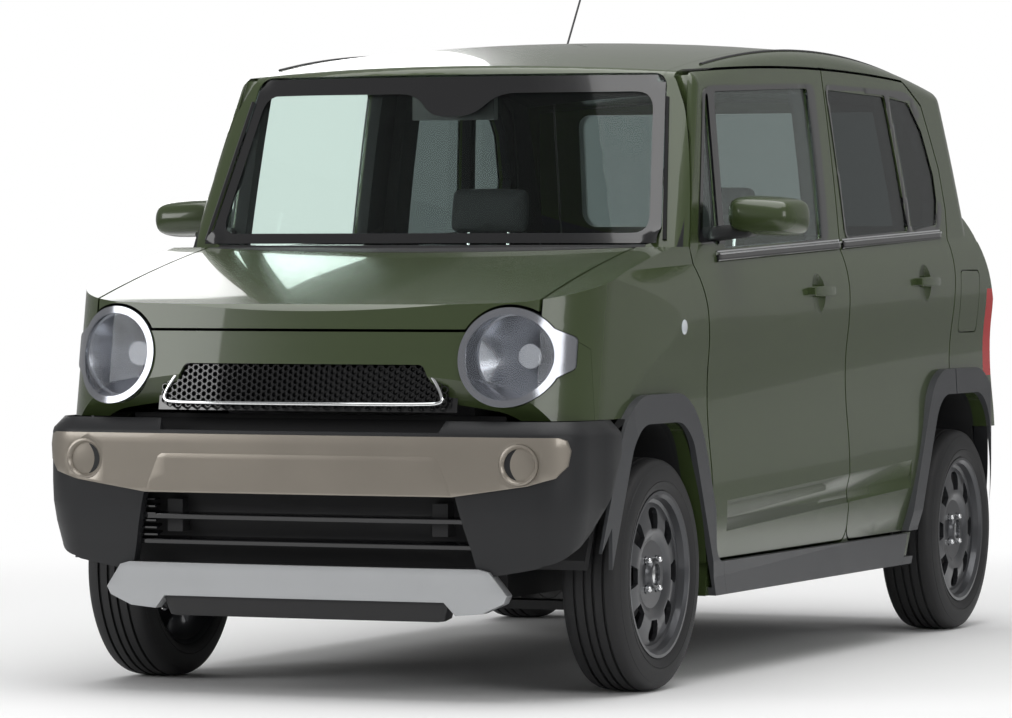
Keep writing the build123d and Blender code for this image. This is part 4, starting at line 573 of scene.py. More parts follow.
def prism(outline: Outline, axis: str, low: float, high: float) -> bpy.types.Object:
    """Extrudes an outline along one axis.

    Args:
        outline: corner points across the axis, in the order of the other two axes.
        axis: X, Y or Z.
        low: where it starts along the axis.
        high: where it ends.

    Returns:
        The closed solid.
    """
    deselect()
    bpy.ops.mesh.primitive_circle_add(vertices=len(outline), fill_type="NGON")
    solid = bpy.context.object
    number = "XYZ".index(axis)
    for vertex, corner in zip(solid.data.vertices, outline):
        spot = list(corner)
        spot.insert(number, low)
        vertex.co = spot
    step = [0.0, 0.0, 0.0]
    step[number] = high - low
    bpy.ops.object.mode_set(mode="EDIT")
    bpy.ops.mesh.select_all(action="SELECT")
    bpy.ops.mesh.extrude_region_move(TRANSFORM_OT_translate={"value": step})
    bpy.ops.mesh.select_all(action="SELECT")
    bpy.ops.mesh.normals_make_consistent(inside=False)
    bpy.ops.object.mode_set(mode="OBJECT")
    return solid


def drum(start: Point, end: Point, radius: float, foot: float | None = None,
         sides: int = 48) -> bpy.types.Object:
    """Makes a round bar, or a cone where the foot radius differs.

    Args:
        start: centre of one end.
        end: centre of the other end.
        radius: radius at the start.
        foot: radius at the end.
        sides: faces round it.

    Returns:
        The closed solid.
    """
    deselect()
    run = Vector(end) - Vector(start)
    bpy.ops.mesh.primitive_cone_add(
        vertices=sides, radius1=radius, radius2=radius if foot is None else foot, depth=run.length,
        location=Vector(start) + run / 2.0, rotation=run.to_track_quat("Z", "Y").to_euler(),
    )
    bpy.ops.object.transform_apply(location=True, rotation=True, scale=True)
    return bpy.context.object


def carved(piece: bpy.types.Object, tools: list[bpy.types.Object],
           operation: str = "DIFFERENCE") -> bpy.types.Object:
    """Cuts a piece with each of the tools, which are used up.

    Args:
        piece: the closed solid.
        tools: the closed solids that cut it.
        operation: DIFFERENCE, INTERSECT or UNION.

    Returns:
        The piece.
    """
    for tool in tools:
        applied(piece, "BOOLEAN", operation=operation, solver="EXACT", object=tool)
        bpy.data.objects.remove(tool)
    return piece


def joined(pieces: list[bpy.types.Object]) -> bpy.types.Object:
    """Makes one object of several.

    Args:
        pieces: the mesh objects.

    Returns:
        The first of them, with all the others in it.
    """
    deselect()
    for piece in pieces:
        piece.select_set(True)
    bpy.context.view_layer.objects.active = pieces[0]
    bpy.ops.object.join()
    return pieces[0]


def twin(piece: bpy.types.Object) -> bpy.types.Object:
    """Copies a piece, with its own mesh, to the other side of the car.

    Args:
        piece: the mesh object.

    Returns:
        The mirrored copy.
    """
    copy = piece.copy()
    copy.data = piece.data.copy()
    bpy.context.collection.objects.link(copy)
    copy.data.transform(Matrix.Diagonal((-1.0, 1.0, 1.0, 1.0)))
    copy.data.flip_normals()
    return copy


def tube(points: list[Point], radius: float, smooth: bool = True, sides: int = 4) -> bpy.types.Object:
    """Runs a round bar along points.

    Args:
        points: the route.
        radius: half its thickness.
        smooth: rounds the route, or keeps its corners.
        sides: fineness of its round section.

    Returns:
        The closed bar as a mesh.
    """
    deselect()
    route = bpy.data.curves.new("route", "CURVE")
    route.dimensions = "3D"
    route.bevel_depth = radius
    route.bevel_resolution = sides
    route.use_fill_caps = True
    spline = route.splines.new("NURBS" if smooth else "POLY")
    spline.points.add(len(points) - 1)
    for point, spot in zip(spline.points, points):
        point.co = (*spot, 1.0)
    spline.order_u = 3
    spline.use_endpoint_u = True
    bar = bpy.data.objects.new("bar", route)
    bpy.context.collection.objects.link(bar)
    bar.select_set(True)
    bpy.context.view_layer.objects.active = bar
    bpy.ops.object.convert(target="MESH")
    return bpy.context.object


def turned(profile: Outline, centre: Point, steps: int, axis: Point = (1.0, 0.0, 0.0)) -> bpy.types.Object:
    """Spins a half profile about an axis.

    Args:
        profile: points as distance along the axis and radius.
        centre: the axis' zero point.
        steps: faces round it.
        axis: direction of the axis, X or Y.

    Returns:
        The turned piece.
    """
    deselect()
    bpy.ops.mesh.primitive_circle_add(vertices=len(profile), fill_type="NOTHING")
    piece = bpy.context.object
    way, origin = Vector(axis), Vector(centre)
    for vertex, (along, radius) in zip(piece.data.vertices, profile):
        vertex.co = origin + way * along + Vector((0.0, 0.0, radius))
    bpy.ops.object.mode_set(mode="EDIT")
    bpy.ops.mesh.select_all(action="SELECT")
    bpy.ops.mesh.spin(steps=steps, angle=math.tau, center=centre, axis=axis)
    bpy.ops.mesh.select_all(action="SELECT")
    bpy.ops.mesh.remove_doubles(threshold=0.00002)
    bpy.ops.mesh.normals_make_consistent(inside=False)
    bpy.ops.object.mode_set(mode="OBJECT")
    return piece


class Skin:
    """Finds points on the outside of CAD nodes, so that trim lies on them."""

    def __init__(self, *names: str) -> None:
        """Collects the faces of the nodes."""
        points: list[Vector] = []
        faces: list[list[int]] = []
        for name in names:
            mesh = NODES[name].data
            start = len(points)
            points += [vertex.co.copy() for vertex in mesh.vertices]
            faces += [[start + corner for corner in face.vertices] for face in mesh.polygons]
        self.tree = BVHTree.FromPolygons(points, faces)

    def drop(self, origin: Point, way: Point, fallback: float = 0.0) -> Vector:
        """Point where a ray first meets the nodes.

        Args:
            origin: start of the ray.
            way: its direction.
            fallback: distance used where it meets nothing.

        Returns:
            The point.
        """
        spot = self.tree.ray_cast(Vector(origin), Vector(way))[0]
        return spot if spot else Vector(origin) + Vector(way) * fallback


# ---------------------------------------------------------------- studio


@dataclass
class Studio:
    """Floor, lights and camera, none of them part of the car.

    Args:
        camera_place: camera position in metres.
        yaw: turn of the camera to the car's left, in degrees.
        pitch: how far it looks down, in degrees.
        lens: focal length for a 36 mm wide frame.
        backdrop: colour of floor and background.
    """

    camera_place: tuple[float, float, float] = (5.429, -13.3145, 1.062)
    yaw: float = 22.752
    pitch: float = 1.048
    lens: float = 188.2
    backdrop: float = 0.9
    lamps: tuple[tuple[Point, tuple[float, float], float], ...] = field(
        default=(
            ((0.5, -0.5, 6.0), (6.0, 7.0), 330.0),
            ((7.0, -5.5, 3.2), (4.0, 3.0), 130.0),
            ((-5.5, -6.5, 3.0), (3.5, 3.0), 150.0),
            ((-5.0, 6.0, 3.5), (4.0, 3.0), 120.0),
        )
    )

    def build(self) -> None:
        """Makes the whole studio."""
        self.place_camera()
        self.lay_floor()
        self.hang_lamps()
        self.light_world()

    def place_camera(self) -> None:
        """Puts the camera where the photograph was taken from."""
        deselect()
        pitch = math.radians(90.0 - self.pitch)
        bpy.ops.object.camera_add(location=self.camera_place, rotation=(pitch, 0.0, math.radians(self.yaw)))
        camera = bpy.context.object
        camera.data.lens = self.lens
        camera.data.sensor_width = 36.0
        camera.data.clip_end = 200.0
        bpy.context.scene.camera = camera

    def lay_floor(self) -> None:
        """Lays the plain pale floor and keeps it white to the camera."""
        deselect()
        bpy.ops.mesh.primitive_plane_add(size=60.0, location=(0.0, 0.0, 0.0))
        floor = bpy.context.object
        floor.name = "studio_floor"
        material = bpy.data.materials.new("studio_floor")
        material.use_nodes = True
        nodes, links = material.node_tree.nodes, material.node_tree.links
        matte = nodes["Principled BSDF"]
        matte.inputs["Base Color"].default_value = (*[self.backdrop] * 3, 1.0)
        matte.inputs["Roughness"].default_value = 0.9
        matte.inputs["Specular IOR Level"].default_value = 0.1
        place = nodes.new("ShaderNodeTexCoord")
        reach = nodes.new("ShaderNodeVectorMath")
        reach.operation = "LENGTH"
        links.new(place.outputs["Object"], reach.inputs[0])
        fade = nodes.new("ShaderNodeMapRange")
        fade.interpolation_type = "SMOOTHSTEP"
        fade.inputs["From Min"].default_value = 2.6
        fade.inputs["From Max"].default_value = 5.5
        links.new(reach.outputs["Value"], fade.inputs["Value"])
        glow = nodes.new("ShaderNodeEmission")
        glow.inputs["Color"].default_value = (1.0, 1.0, 1.0, 1.0)
        links.new(self.strength(material.node_tree, 0.22), glow.inputs["Strength"])
        blend = nodes.new("ShaderNodeMixShader")
        links.new(fade.outputs["Result"], blend.inputs["Fac"])
        links.new(matte.outputs["BSDF"], blend.inputs[1])
        links.new(glow.outputs["Emission"], blend.inputs[2])
        links.new(blend.outputs["Shader"], nodes["Material Output"].inputs["Surface"])
        floor.data.materials.append(material)

    def hang_lamps(self) -> None:
        """Hangs the soft lamps, each aimed at the middle of the car."""
        for place, size, power in self.lamps:
            deselect()
            aim = (Vector((0.0, 0.0, 0.7)) - Vector(place)).to_track_quat("-Z", "Y").to_euler()
            bpy.ops.object.light_add(type="AREA", location=place, rotation=aim)
            lamp = bpy.context.object
            lamp.data.shape = "RECTANGLE"
            lamp.data.size, lamp.data.size_y = size
            lamp.data.energy = power

    def strength(self, tree: bpy.types.NodeTree, unseen: float) -> bpy.types.NodeSocket:
        """Gives full strength to the camera and through glass, and less in reflections.

        Args:
            tree: node tree of the material or world.
            unseen: strength for all other rays.

        Returns:
            The socket with the strength.
        """
        nodes, links = tree.nodes, tree.links
        light_path = nodes.new("ShaderNodeLightPath")
        seen = nodes.new("ShaderNodeMath")
        seen.operation = "MAXIMUM"
        links.new(light_path.outputs["Is Camera Ray"], seen.inputs[0])
        links.new(light_path.outputs["Is Transmission Ray"], seen.inputs[1])
        level = nodes.new("ShaderNodeMapRange")
        level.inputs["To Min"].default_value = unseen
        level.inputs["To Max"].default_value = 1.0
        links.new(seen.outputs["Value"], level.inputs["Value"])
        return level.outputs["Result"]

    def light_world(self) -> None:
        """Lights the surroundings evenly, full white to the camera and through glass, dimmer for all other
        rays.
        """
        world = bpy.data.worlds.new("studio_world")
        bpy.context.scene.world = world
        world.use_nodes = True
        nodes, links = world.node_tree.nodes, world.node_tree.links
        sky = nodes["Background"]
        links.new(self.strength(world.node_tree, 0.36), sky.inputs["Strength"])
        sky.inputs["Color"].default_value = (1.0, 1.0, 1.0, 1.0)
        bpy.context.scene.view_settings.view_transform = "Standard"


# ---------------------------------------------------------------- sub-assemblies


@dataclass
class FramePieces:
    """CAD nodes that keep their own mesh and only get a finish."""

    finishes: dict[str, Finish | GlassFinish] = field(default_factory=lambda: dict(NODE_FINISH))

    def build(self) -> None:
        """Dresses every CAD node."""
        for name, node in NODES.items():
            dress(node, self.finishes[base_name(name)])
            LOG.info("dressed %s", name)


def arc_run(start: tuple[float, float], heading: float, end: tuple[float, float], steps: int) -> list[Point]:
    """Walks an arc that leaves its start along a heading.

    Args:
        start: first point.
        heading: direction at the start, in radians.
        end: last point.
        steps: how many steps it takes.

    Returns:
        Points after the start, each with its own heading as third value.
    """
    chord = (end[0] - start[0], end[1] - start[1])
    half = math.atan2(chord[1], chord[0]) - heading
    radius = math.hypot(*chord) / (2.0 * math.sin(half))
    points = []
    for step in range(1, steps + 1):
        turn = heading + 2.0 * half * step / steps
        x = start[0] + radius * (math.sin(turn) - math.sin(heading))
        y = start[1] - radius * (math.cos(turn) - math.cos(heading))
        points.append((x, y, turn))
    return points


@dataclass
class FrontBumper:
    """Front bumper with its silver band, lower grille, skid strip and lip.

    Args:
        levels: height and how far the outline is drawn in there.
        body: the body that carries it.
    """

    levels: Flat = (
        (0.190, 0.050), (0.236, 0.042), (0.300, 0.034), (0.365, 0.024), (0.420, 0.010), (0.470, 0.002),
        (0.520, 0.0), (0.642, 0.0), (0.652, 0.003), (0.680, 0.030),
    )
    front_y: float = -1.690
    end_y: float = -1.3995
    body: str = "body"
    plan: list[Point] = field(default_factory=list)

    def build(self) -> None:
        """Makes every piece of the bumper."""
        self.draw_plan()
        self.make_moulding()
        self.make_band()
        self.make_fog_blanks()
        self.make_skid()
        self.make_lip()
        self.make_lower_grille()

    def draw_plan(self) -> None:
        """Lays out the half outline seen from above, from its middle outwards."""
        start = (0.0, self.front_y, 0.0)
        face = arc_run(start[:2], 0.0, (0.612, self.front_y + 0.0235), 14)
        corner = arc_run(face[-1][:2], face[-1][2], (0.718, self.front_y + 0.128), 12)
        side = arc_run(corner[-1][:2], corner[-1][2], (0.736, self.front_y + 0.225), 4)
        last = side[-1]
        self.plan = [start, *face, *corner, *side, (last[0], self.end_y, math.pi / 2.0)]

    def drawn_in(self, height: float) -> float:
        """How far the outline is drawn in at a height.

        Args:
            height: height above the ground.

        Returns:
            The distance.
        """
        for (low, near), (high, far) in zip(self.levels, self.levels[1:]):
            if height <= high:
                share = (max(height, low) - low) / (high - low)
                return near + (far - near) * share
        return self.levels[-1][1]

    def point(self, place: float, height: float, proud: float) -> Vector:
        """Point on the bumper's face.

        Args:
            place: step along the plan, negative on the right side.
            height: height above the ground.
            proud: distance outside the face.

        Returns:
            The point in metres.
        """
        number = min(int(abs(place)), len(self.plan) - 2)
        share = abs(place) - number
        near, far = self.plan[number], self.plan[number + 1]
        x, y, turn = (near[k] + (far[k] - near[k]) * share for k in range(3))
        away = proud - self.drawn_in(height)
        side = -1.0 if place < 0.0 else 1.0
        return Vector((side * (x + math.sin(turn) * away), y - math.cos(turn) * away, height))

    def shell(self, proud: float, depth: float, low: float, high: float) -> bpy.types.Object:
        """Makes a closed shell that follows the bumper's face.

        Args:
            proud: how far its outside stands off the face.
            depth: its thickness inwards.
            low: its foot.
            high: its head.

        Returns:
            The shell.
        """
        heights = [low] + [z for z, _ in self.levels if low < z < high] + [high]
        heights = sorted(set(heights) | {low + (high - low) * k / 6.0 for k in range(7)})
        last = len(self.plan) - 1
        outside = sheet(2 * last, len(heights) - 1, lambda u, v: self.point(
            round(u * 2 * last) - last, heights[round(v * (len(heights) - 1))], proud))
        return applied(outside, "SOLIDIFY", thickness=depth, offset=-1.0, use_even_offset=True)

    def corner_tools(self) -> list[bpy.types.Object]:
        """Solids that cut the rising lower corners."""
        side = [(-1.760, 0.180), (-1.653, 0.180), (-1.6525, 0.262), (-1.635, 0.335), (-1.578, 0.372),
                (-1.538, 0.405),
                (-1.468, 0.490), (-1.399, 0.600), (-1.300, 0.600), (-1.300, 0.100), (-1.760, 0.100)]
        tools = []
        for sign in (1.0, -1.0):
            low, high = sorted((sign * 0.490, sign * 0.800))
            tools.append(prism(side, "X", low, high))
            front = [(0.506, 0.100), (0.506, 0.236), (0.600, 0.298), (0.672, 0.352), (0.712, 0.396),
                     (0.800, 0.440),
                     (0.800, 0.100)]
            tools.append(prism([(sign * x, z) for x, z in front], "Y", -1.760, -1.300))
        return tools

    def make_moulding(self) -> None:
        """Makes the grained moulding with its openings."""
        moulding = self.shell(0.0, 0.030, 0.236, 0.680)
        opening = [(-0.416, 0.498), (0.416, 0.498), (0.459, 0.326), (-0.459, 0.326)]
        slot = [(-0.395, 0.720), (0.395, 0.720), (0.372, 0.652), (-0.372, 0.652)]
        tools = [prism(opening, "Y", -1.75, -1.3), prism(slot, "Y", -1.75, -1.3), *self.corner_tools()]
        carved(moulding, tools)
        eased(moulding, 0.004, 3)
        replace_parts(finish_piece(moulding, "bumper_moulding", self.body, "cladding_plastic", CLADDING),
                    "front_bumper")

    def make_band(self) -> None:
        """Makes the painted band with its raised middle."""
        half = [(0.410, 0.499), (0.600, 0.527), (0.666, 0.546), (0.690, 0.575), (0.695, 0.612),
                (0.688, 0.636),
                (0.672, 0.643)]
        band = self.shell(0.0065, 0.0090, 0.485, 0.644)
        carved(band, [prism(half + [(-x, z) for x, z in reversed(half)], "Y", -1.75, -1.52)], "INTERSECT")
        middle = [(0.409, 0.500), (0.398, 0.530), (0.373, 0.588), (0.362, 0.595)]
        raised = self.shell(0.0075, 0.0060, 0.485, 0.600)
        carved(raised, [prism(middle + [(-x, z) for x, z in reversed(middle)], "Y", -1.75, -1.52)],
               "INTERSECT")
        for piece in (band, raised):
            fogs = [drum((side * 0.580, -1.75, 0.578),
                         (side * 0.580, -1.50, 0.578), 0.050) for side in (1.0, -1.0)]
            carved(piece, fogs)
            eased(piece, 0.0016)
        band = joined([band, raised])
        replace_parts(finish_piece(band, "painted_band", self.body, "band_paint", BAND_PAINT), "bumper_band")

    def make_fog_blanks(self) -> None:
        """Makes the dished round covers in the band's ends."""
        deep = self.point(13.4, 0.578, 0.0).y
        profile = [(-0.004, 0.0), (-0.002, 0.026), (-0.001, 0.038), (-0.0075, 0.041), (-0.0105, 0.045),
                   (-0.0095, 0.0496),
                   (0.012, 0.0496), (0.012, 0.0)]
        blank = turned(profile, (0.580, deep, 0.578), 40, (0.0, 1.0, 0.0))
        other = twin(blank)
        blank = joined([blank, other])
        finish_piece(blank, "fog_covers", self.body, "band_paint", BAND_PAINT)

    def make_skid(self) -> None:
        """Makes the silver strip whose ends droop beside the lip."""
        half = [(0.374, 0.243), (0.402, 0.211), (0.470, 0.217), (0.526, 0.242), (0.536, 0.262),
                (0.494, 0.318),
                (0.468, 0.325)]
        strip = self.shell(0.010, 0.036, 0.195, 0.330)
        carved(strip, [prism(half + [(-x, z) for x, z in reversed(half)], "Y", -1.76, -1.40)], "INTERSECT")
        eased(strip, 0.005, 3)
        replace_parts(finish_piece(strip, "skid_moulding", self.body, "silver_plastic", STRIP_SILVER),
                    "skid_strip")

    def make_lip(self) -> None:
        """Makes the black lip."""
        lip = self.shell(-0.004, 0.045, 0.194, 0.243)
        half = [(0.382, 0.243), (0.366, 0.196), (0.350, 0.194)]
        carved(lip, [prism(half + [(-x, z) for x, z in reversed(half)], "Y", -1.76, -1.40)], "INTERSECT")
        eased(lip, 0.004)
        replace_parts(finish_piece(lip, "chin_lip", self.body, "black_plastic", BLACK_TRIM), "front_lip")

    def make_lower_grille(self) -> None:
        """Makes the slats, the side fins and the dark panel behind them."""
        slats = []
        for height in (0.375, 0.438):
            slat = self.shell(-0.022, 0.034, height - 0.006, height + 0.006)
            carved(slat, [prism(box_line(-0.470, 0.3, 0.470, 0.5), "Y", -1.75, -1.55)], "INTERSECT")
            slats.append(eased(slat, 0.002))
        for number in range(6):
            height = 0.392 + 0.0175 * number
            fin = self.shell(-0.020, 0.030, height - 0.0022, height + 0.0022)
            carved(fin, [prism(box_line(-0.458, 0.3, -0.396, 0.5), "Y", -1.75, -1.4)], "INTERSECT")
            slats.append(fin)
        grille = finish_piece(joined(slats), "lower_slats", self.body, "black_plastic", GLOSS_BLACK)
        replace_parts(grille, "lower_grille")
        backing = self.shell(-0.085, 0.004, 0.240, 0.690)
        carved(backing, [prism(box_line(-0.50, 0.2, 0.50, 0.70), "Y", -1.75, -1.2)], "INTERSECT")
        finish_piece(backing, "air_intake_back", self.body, "black_plastic", UNDERBODY)


@dataclass
class UpperGrille:
    """Honeycomb between the headlamps with its bright frame.

    Args:
        corners: half outline of the opening as x and z; not used.
        cell: distance between the flats of a cell.
        rib: thickness of the ribs.
    """

    corners: Flat = ((0.322, 0.817), (0.345, 0.795), (0.372, 0.735), (0.366, 0.719))
    cell: float = 0.0160
    rib: float = 0.0034
    face_y: float = -1.668
    body: str = "body"

    def bow(self, x: float) -> float:
        """How far the nose falls back at a distance from the middle."""
        return 0.030 * (x / 0.5) ** 2

    def lean(self, z: float) -> float:
        """How far the nose falls back at a height."""
        return 0.18 * (z - 0.719)

    def build(self) -> None:
        """Makes the honeycomb, its back and its frame."""
        deselect()
        side = self.cell / math.sqrt(3.0)
        bpy.ops.mesh.primitive_circle_add(vertices=6, radius=side, fill_type="NGON",
                                          rotation=(math.pi / 2.0, 0.0, 0.0))
        bpy.ops.object.transform_apply(location=True, rotation=True, scale=True)
        bpy.ops.object.mode_set(mode="EDIT")
        bpy.ops.mesh.select_all(action="SELECT")
        bpy.ops.mesh.inset(thickness=self.rib / 2.0)
        bpy.ops.mesh.delete(type="FACE")
        bpy.ops.mesh.select_all(action="SELECT")
        bpy.ops.mesh.extrude_region_move(TRANSFORM_OT_translate={"value": (0.0, 0.012, 0.0)})
        bpy.ops.object.mode_set(mode="OBJECT")
        cell = bpy.context.object
        points = [vertex.co.copy() for vertex in cell.data.vertices]
        pitch_x = 1.5 * side
        cells = []
        for column in range(-31, 32):
            for row in range(0, 8):
                x = column * pitch_x
                z = 0.716 + row * self.cell + (self.cell / 2.0 if column % 2 else 0.0)
                limit = 0.378 - max(0.0, z - 0.735) * 0.62
                if z > 0.826 or abs(x) > limit + side:
                    continue
                mesh = cell.data.copy()
                for vertex, point in zip(mesh.vertices, points):
                    place = point + Vector((x, self.face_y, z))
                    vertex.co = place + Vector((0.0, self.bow(place.x) + self.lean(place.z), 0.0))
                copy = bpy.data.objects.new("cell", mesh)
                bpy.context.collection.objects.link(copy)
                cells.append(copy)
        bpy.data.objects.remove(cell)
        comb = joined(cells)
        piece = finish_piece(comb, "honeycomb", self.body, "black_plastic", GLOSS_BLACK, 20.0)
        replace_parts(piece, "upper_grille")

        def place(u: float, v: float) -> Vector:
            """Point on the dark wall behind the honeycomb."""
            x, z = (u - 0.5) * 0.80, 0.70 + 0.14 * v
            return Vector((x, self.face_y + 0.024 + self.bow(x) + self.lean(z), z))

        back = sheet(24, 4, place)
        applied(back, "SOLIDIFY", thickness=0.002)
        finish_piece(back, "grille_back", self.body, "black_plastic", GLOSS_BLACK)
        self.make_frame()

    def make_frame(self) -> None:
        """Makes the bright strip along the foot and up both sides, and the dark one above."""
        foot = [(0.330, 0.801), (0.352, 0.776), (0.374, 0.733), (0.368, 0.723), (0.340, 0.7195),
                (0.2, 0.7185)]
        route = foot + [(0.0, 0.7185)] + [(-x, z) for x, z in reversed(foot)]
        points = [(x, self.face_y - 0.004 + self.bow(x) + self.lean(z), z) for x, z in route]
        bright = tube(points, 0.0042, True, 3)
        finish_piece(bright, "grille_frame", self.body, "bright_trim", CHROME)
        head = [(0.326, 0.806), (0.316, 0.8165), (0.29, 0.8195), (0.1, 0.8205)]
        route = head + [(-x, z) for x, z in reversed(head)]
        dark = tube([(x, self.face_y - 0.001 + self.bow(x) + self.lean(z), z) for x, z in route], 0.004,
                    True, 3)
        finish_piece(dark, "grille_head_frame", self.body, "black_plastic", GLOSS_BLACK)


@dataclass
class RoadWheels:
    """Pressed-look wheels with eight windows, and their tyres.

    Args:
        rim: half profile as distance outboard of the wheel's middle and radius.
        tyre: the same for the tyre.
    """

    rim: Flat = (
        (0.070, 0.203), (0.072, 0.2075), (0.076, 0.207), (0.076, 0.199), (0.068, 0.191), (0.052, 0.187),
        (0.049, 0.178),
        (0.054, 0.166), (0.060, 0.130), (0.061, 0.104), (0.056, 0.092), (0.0515, 0.084), (0.0515, 0.040),
        (0.056, 0.036),
        (0.064, 0.033), (0.066, 0.029), (0.066, 0.0), (0.040, 0.0), (0.040, 0.084), (0.049, 0.104),
        (0.048, 0.130),
        (0.042, 0.166), (0.037, 0.178), (0.036, 0.186), (0.0, 0.188), (-0.066, 0.196), (-0.074, 0.2065),
        (-0.070, 0.2065),
        (-0.062, 0.201), (0.0, 0.193), (0.050, 0.195), (0.062, 0.200),
    )
    tyre: Flat = (
        (0.066, 0.2010), (0.0735, 0.2085), (0.0775, 0.2140), (0.0810, 0.2240), (0.0822, 0.2300),
        (0.0806, 0.2315),
        (0.0822, 0.2335), (0.0824, 0.2450), (0.0806, 0.2580), (0.0770, 0.2690), (0.0755, 0.2700),
        (0.0740, 0.2740),
        (0.0690, 0.2812), (0.0620, 0.2850), (0.0500, 0.2878), (0.0415, 0.2886), (0.0405, 0.2816),
        (0.0345, 0.2816),
        (0.0335, 0.2890), (0.0150, 0.2895), (0.0140, 0.2822), (0.0080, 0.2822), (0.0070, 0.2895),
    )
    tracks: tuple[tuple[str, float, float], ...] = (
        ("front", -1.1075, 0.6475), ("rear", 1.3175, 0.645),
    )

    def build(self) -> None:
        """Makes one wheel and copies it to the four corners."""
        rim = self.make_rim()
        tyre = self.make_tyre()
        bolts = self.make_bolts()
        for axle, axle_y, track in self.tracks:
            for side, sign in (("left", 1.0), ("right", -1.0)):
                body = f"wheel_{axle}_{side}"
                for source, name, slot, finish, node in (
                    (rim, "rim", "wheel_paint", WHEEL_PAINT, f"rim_{axle}_{side}"),
                    (tyre, "tyre", "tyre", RUBBER, f"tyre_{axle}_{side}"),
                    (bolts, "wheel_bolts", "bright_trim", CHROME, ""),
                ):
                    copy = source.copy()
                    copy.data = source.data.copy()
                    bpy.context.collection.objects.link(copy)
                    copy.data.transform(Matrix.Diagonal((sign, 1.0, 1.0, 1.0)))
                    copy.data.transform(Matrix.Translation((sign * track, axle_y, WHEEL_Z)))
                    finish_piece(copy, f"{name}_dressed_{axle}_{side}", body, slot, finish, 28.0)
                    if node:
                        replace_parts(copy, node)
        for source in (rim, tyre, bolts):
            bpy.data.objects.remove(source)

    def make_rim(self) -> bpy.types.Object:
        """Turns the rim and cuts its windows.

        Returns:
            The rim, standing at the origin.
        """
        rim = turned(list(self.rim), (0.0, 0.0, 0.0), 96)
        window = [(0.0185, 0.113), (0.030, 0.146), (0.0285, 0.155), (0.022, 0.1625), (0.011, 0.166)]
        window = window + [(-y, z) for y, z in reversed(window)]
        for number in range(8):
            angle = math.tau * number / 8.0
            turned_window = [
                (y * math.cos(angle) - z * math.sin(angle),
                 y * math.sin(angle) + z * math.cos(angle)) for y, z in window
            ]
            carved(rim, [prism(turned_window, "X", 0.020, 0.085)])
        carved(rim, [drum((0.045, 0.0, 0.0), (0.090, 0.0, 0.0), 0.0275)])
        for number in range(4):
            angle = math.tau * (number + 0.5) / 4.0
            y, z = 0.050 * math.cos(angle), 0.050 * math.sin(angle)
            carved(rim, [drum((0.044, y, z), (0.080, y, z), 0.0105, 0.0125, 24)])
        return eased(rim, 0.0022, 2, 50.0)

    def make_tyre(self) -> bpy.types.Object:
        """Turns the tyre and presses cross grooves into its shoulders.

        Returns:
            The tyre, standing at the origin.
        """
        half = list(self.tyre)
        profile = half + [(-along, radius) for along, radius in reversed(half)]
        inner = [(-0.060, 0.2015), (0.060, 0.2015)]
        tyre = turned(profile + inner, (0.0, 0.0, 0.0), 144)
        deselect()
        tyre.select_set(True)
        bpy.context.view_layer.objects.active = tyre
        for face in tyre.data.polygons:
            middle = face.center
            turn = math.atan2(middle.y, middle.z) % math.tau
            step = int(turn / math.tau * 144)
            radius = math.hypot(middle.y, middle.z)
            shoulder = 0.042 < abs(middle.x) < 0.073 and radius > 0.272
            rib = 0.015 < abs(middle.x) < 0.0335 and radius > 0.286
            face.select = (shoulder and step % 3 == 0) or (rib and step % 4 == (1 if middle.x > 0 else 3))
        bpy.ops.object.mode_set(mode="EDIT")
        bpy.ops.mesh.select_mode(type="FACE")
        bpy.ops.mesh.extrude_region_shrink_fatten(TRANSFORM_OT_shrink_fatten={"value": -0.0042})
        bpy.ops.object.mode_set(mode="OBJECT")
        return tyre

    def make_bolts(self) -> bpy.types.Object:
        """Makes the four nuts and the centre cap.

        Returns:
            The set, standing at the origin.
        """
        pieces = []
        for number in range(4):
            angle = math.tau * (number + 0.5) / 4.0
            y, z = 0.050 * math.cos(angle), 0.050 * math.sin(angle)
            nut = drum((0.0445, y, z), (0.0625, y, z), 0.0098, 0.0090, 6)
            dome = drum((0.0620, y, z), (0.0665, y, z), 0.0082, 0.0050, 18)
            pieces += [eased(nut, 0.001), eased(dome, 0.001)]
        cap = drum((0.046, 0.0, 0.0), (0.060, 0.0, 0.0), 0.0268, 0.0262, 40)
        pieces.append(eased(cap, 0.003, 3))
        return joined(pieces)


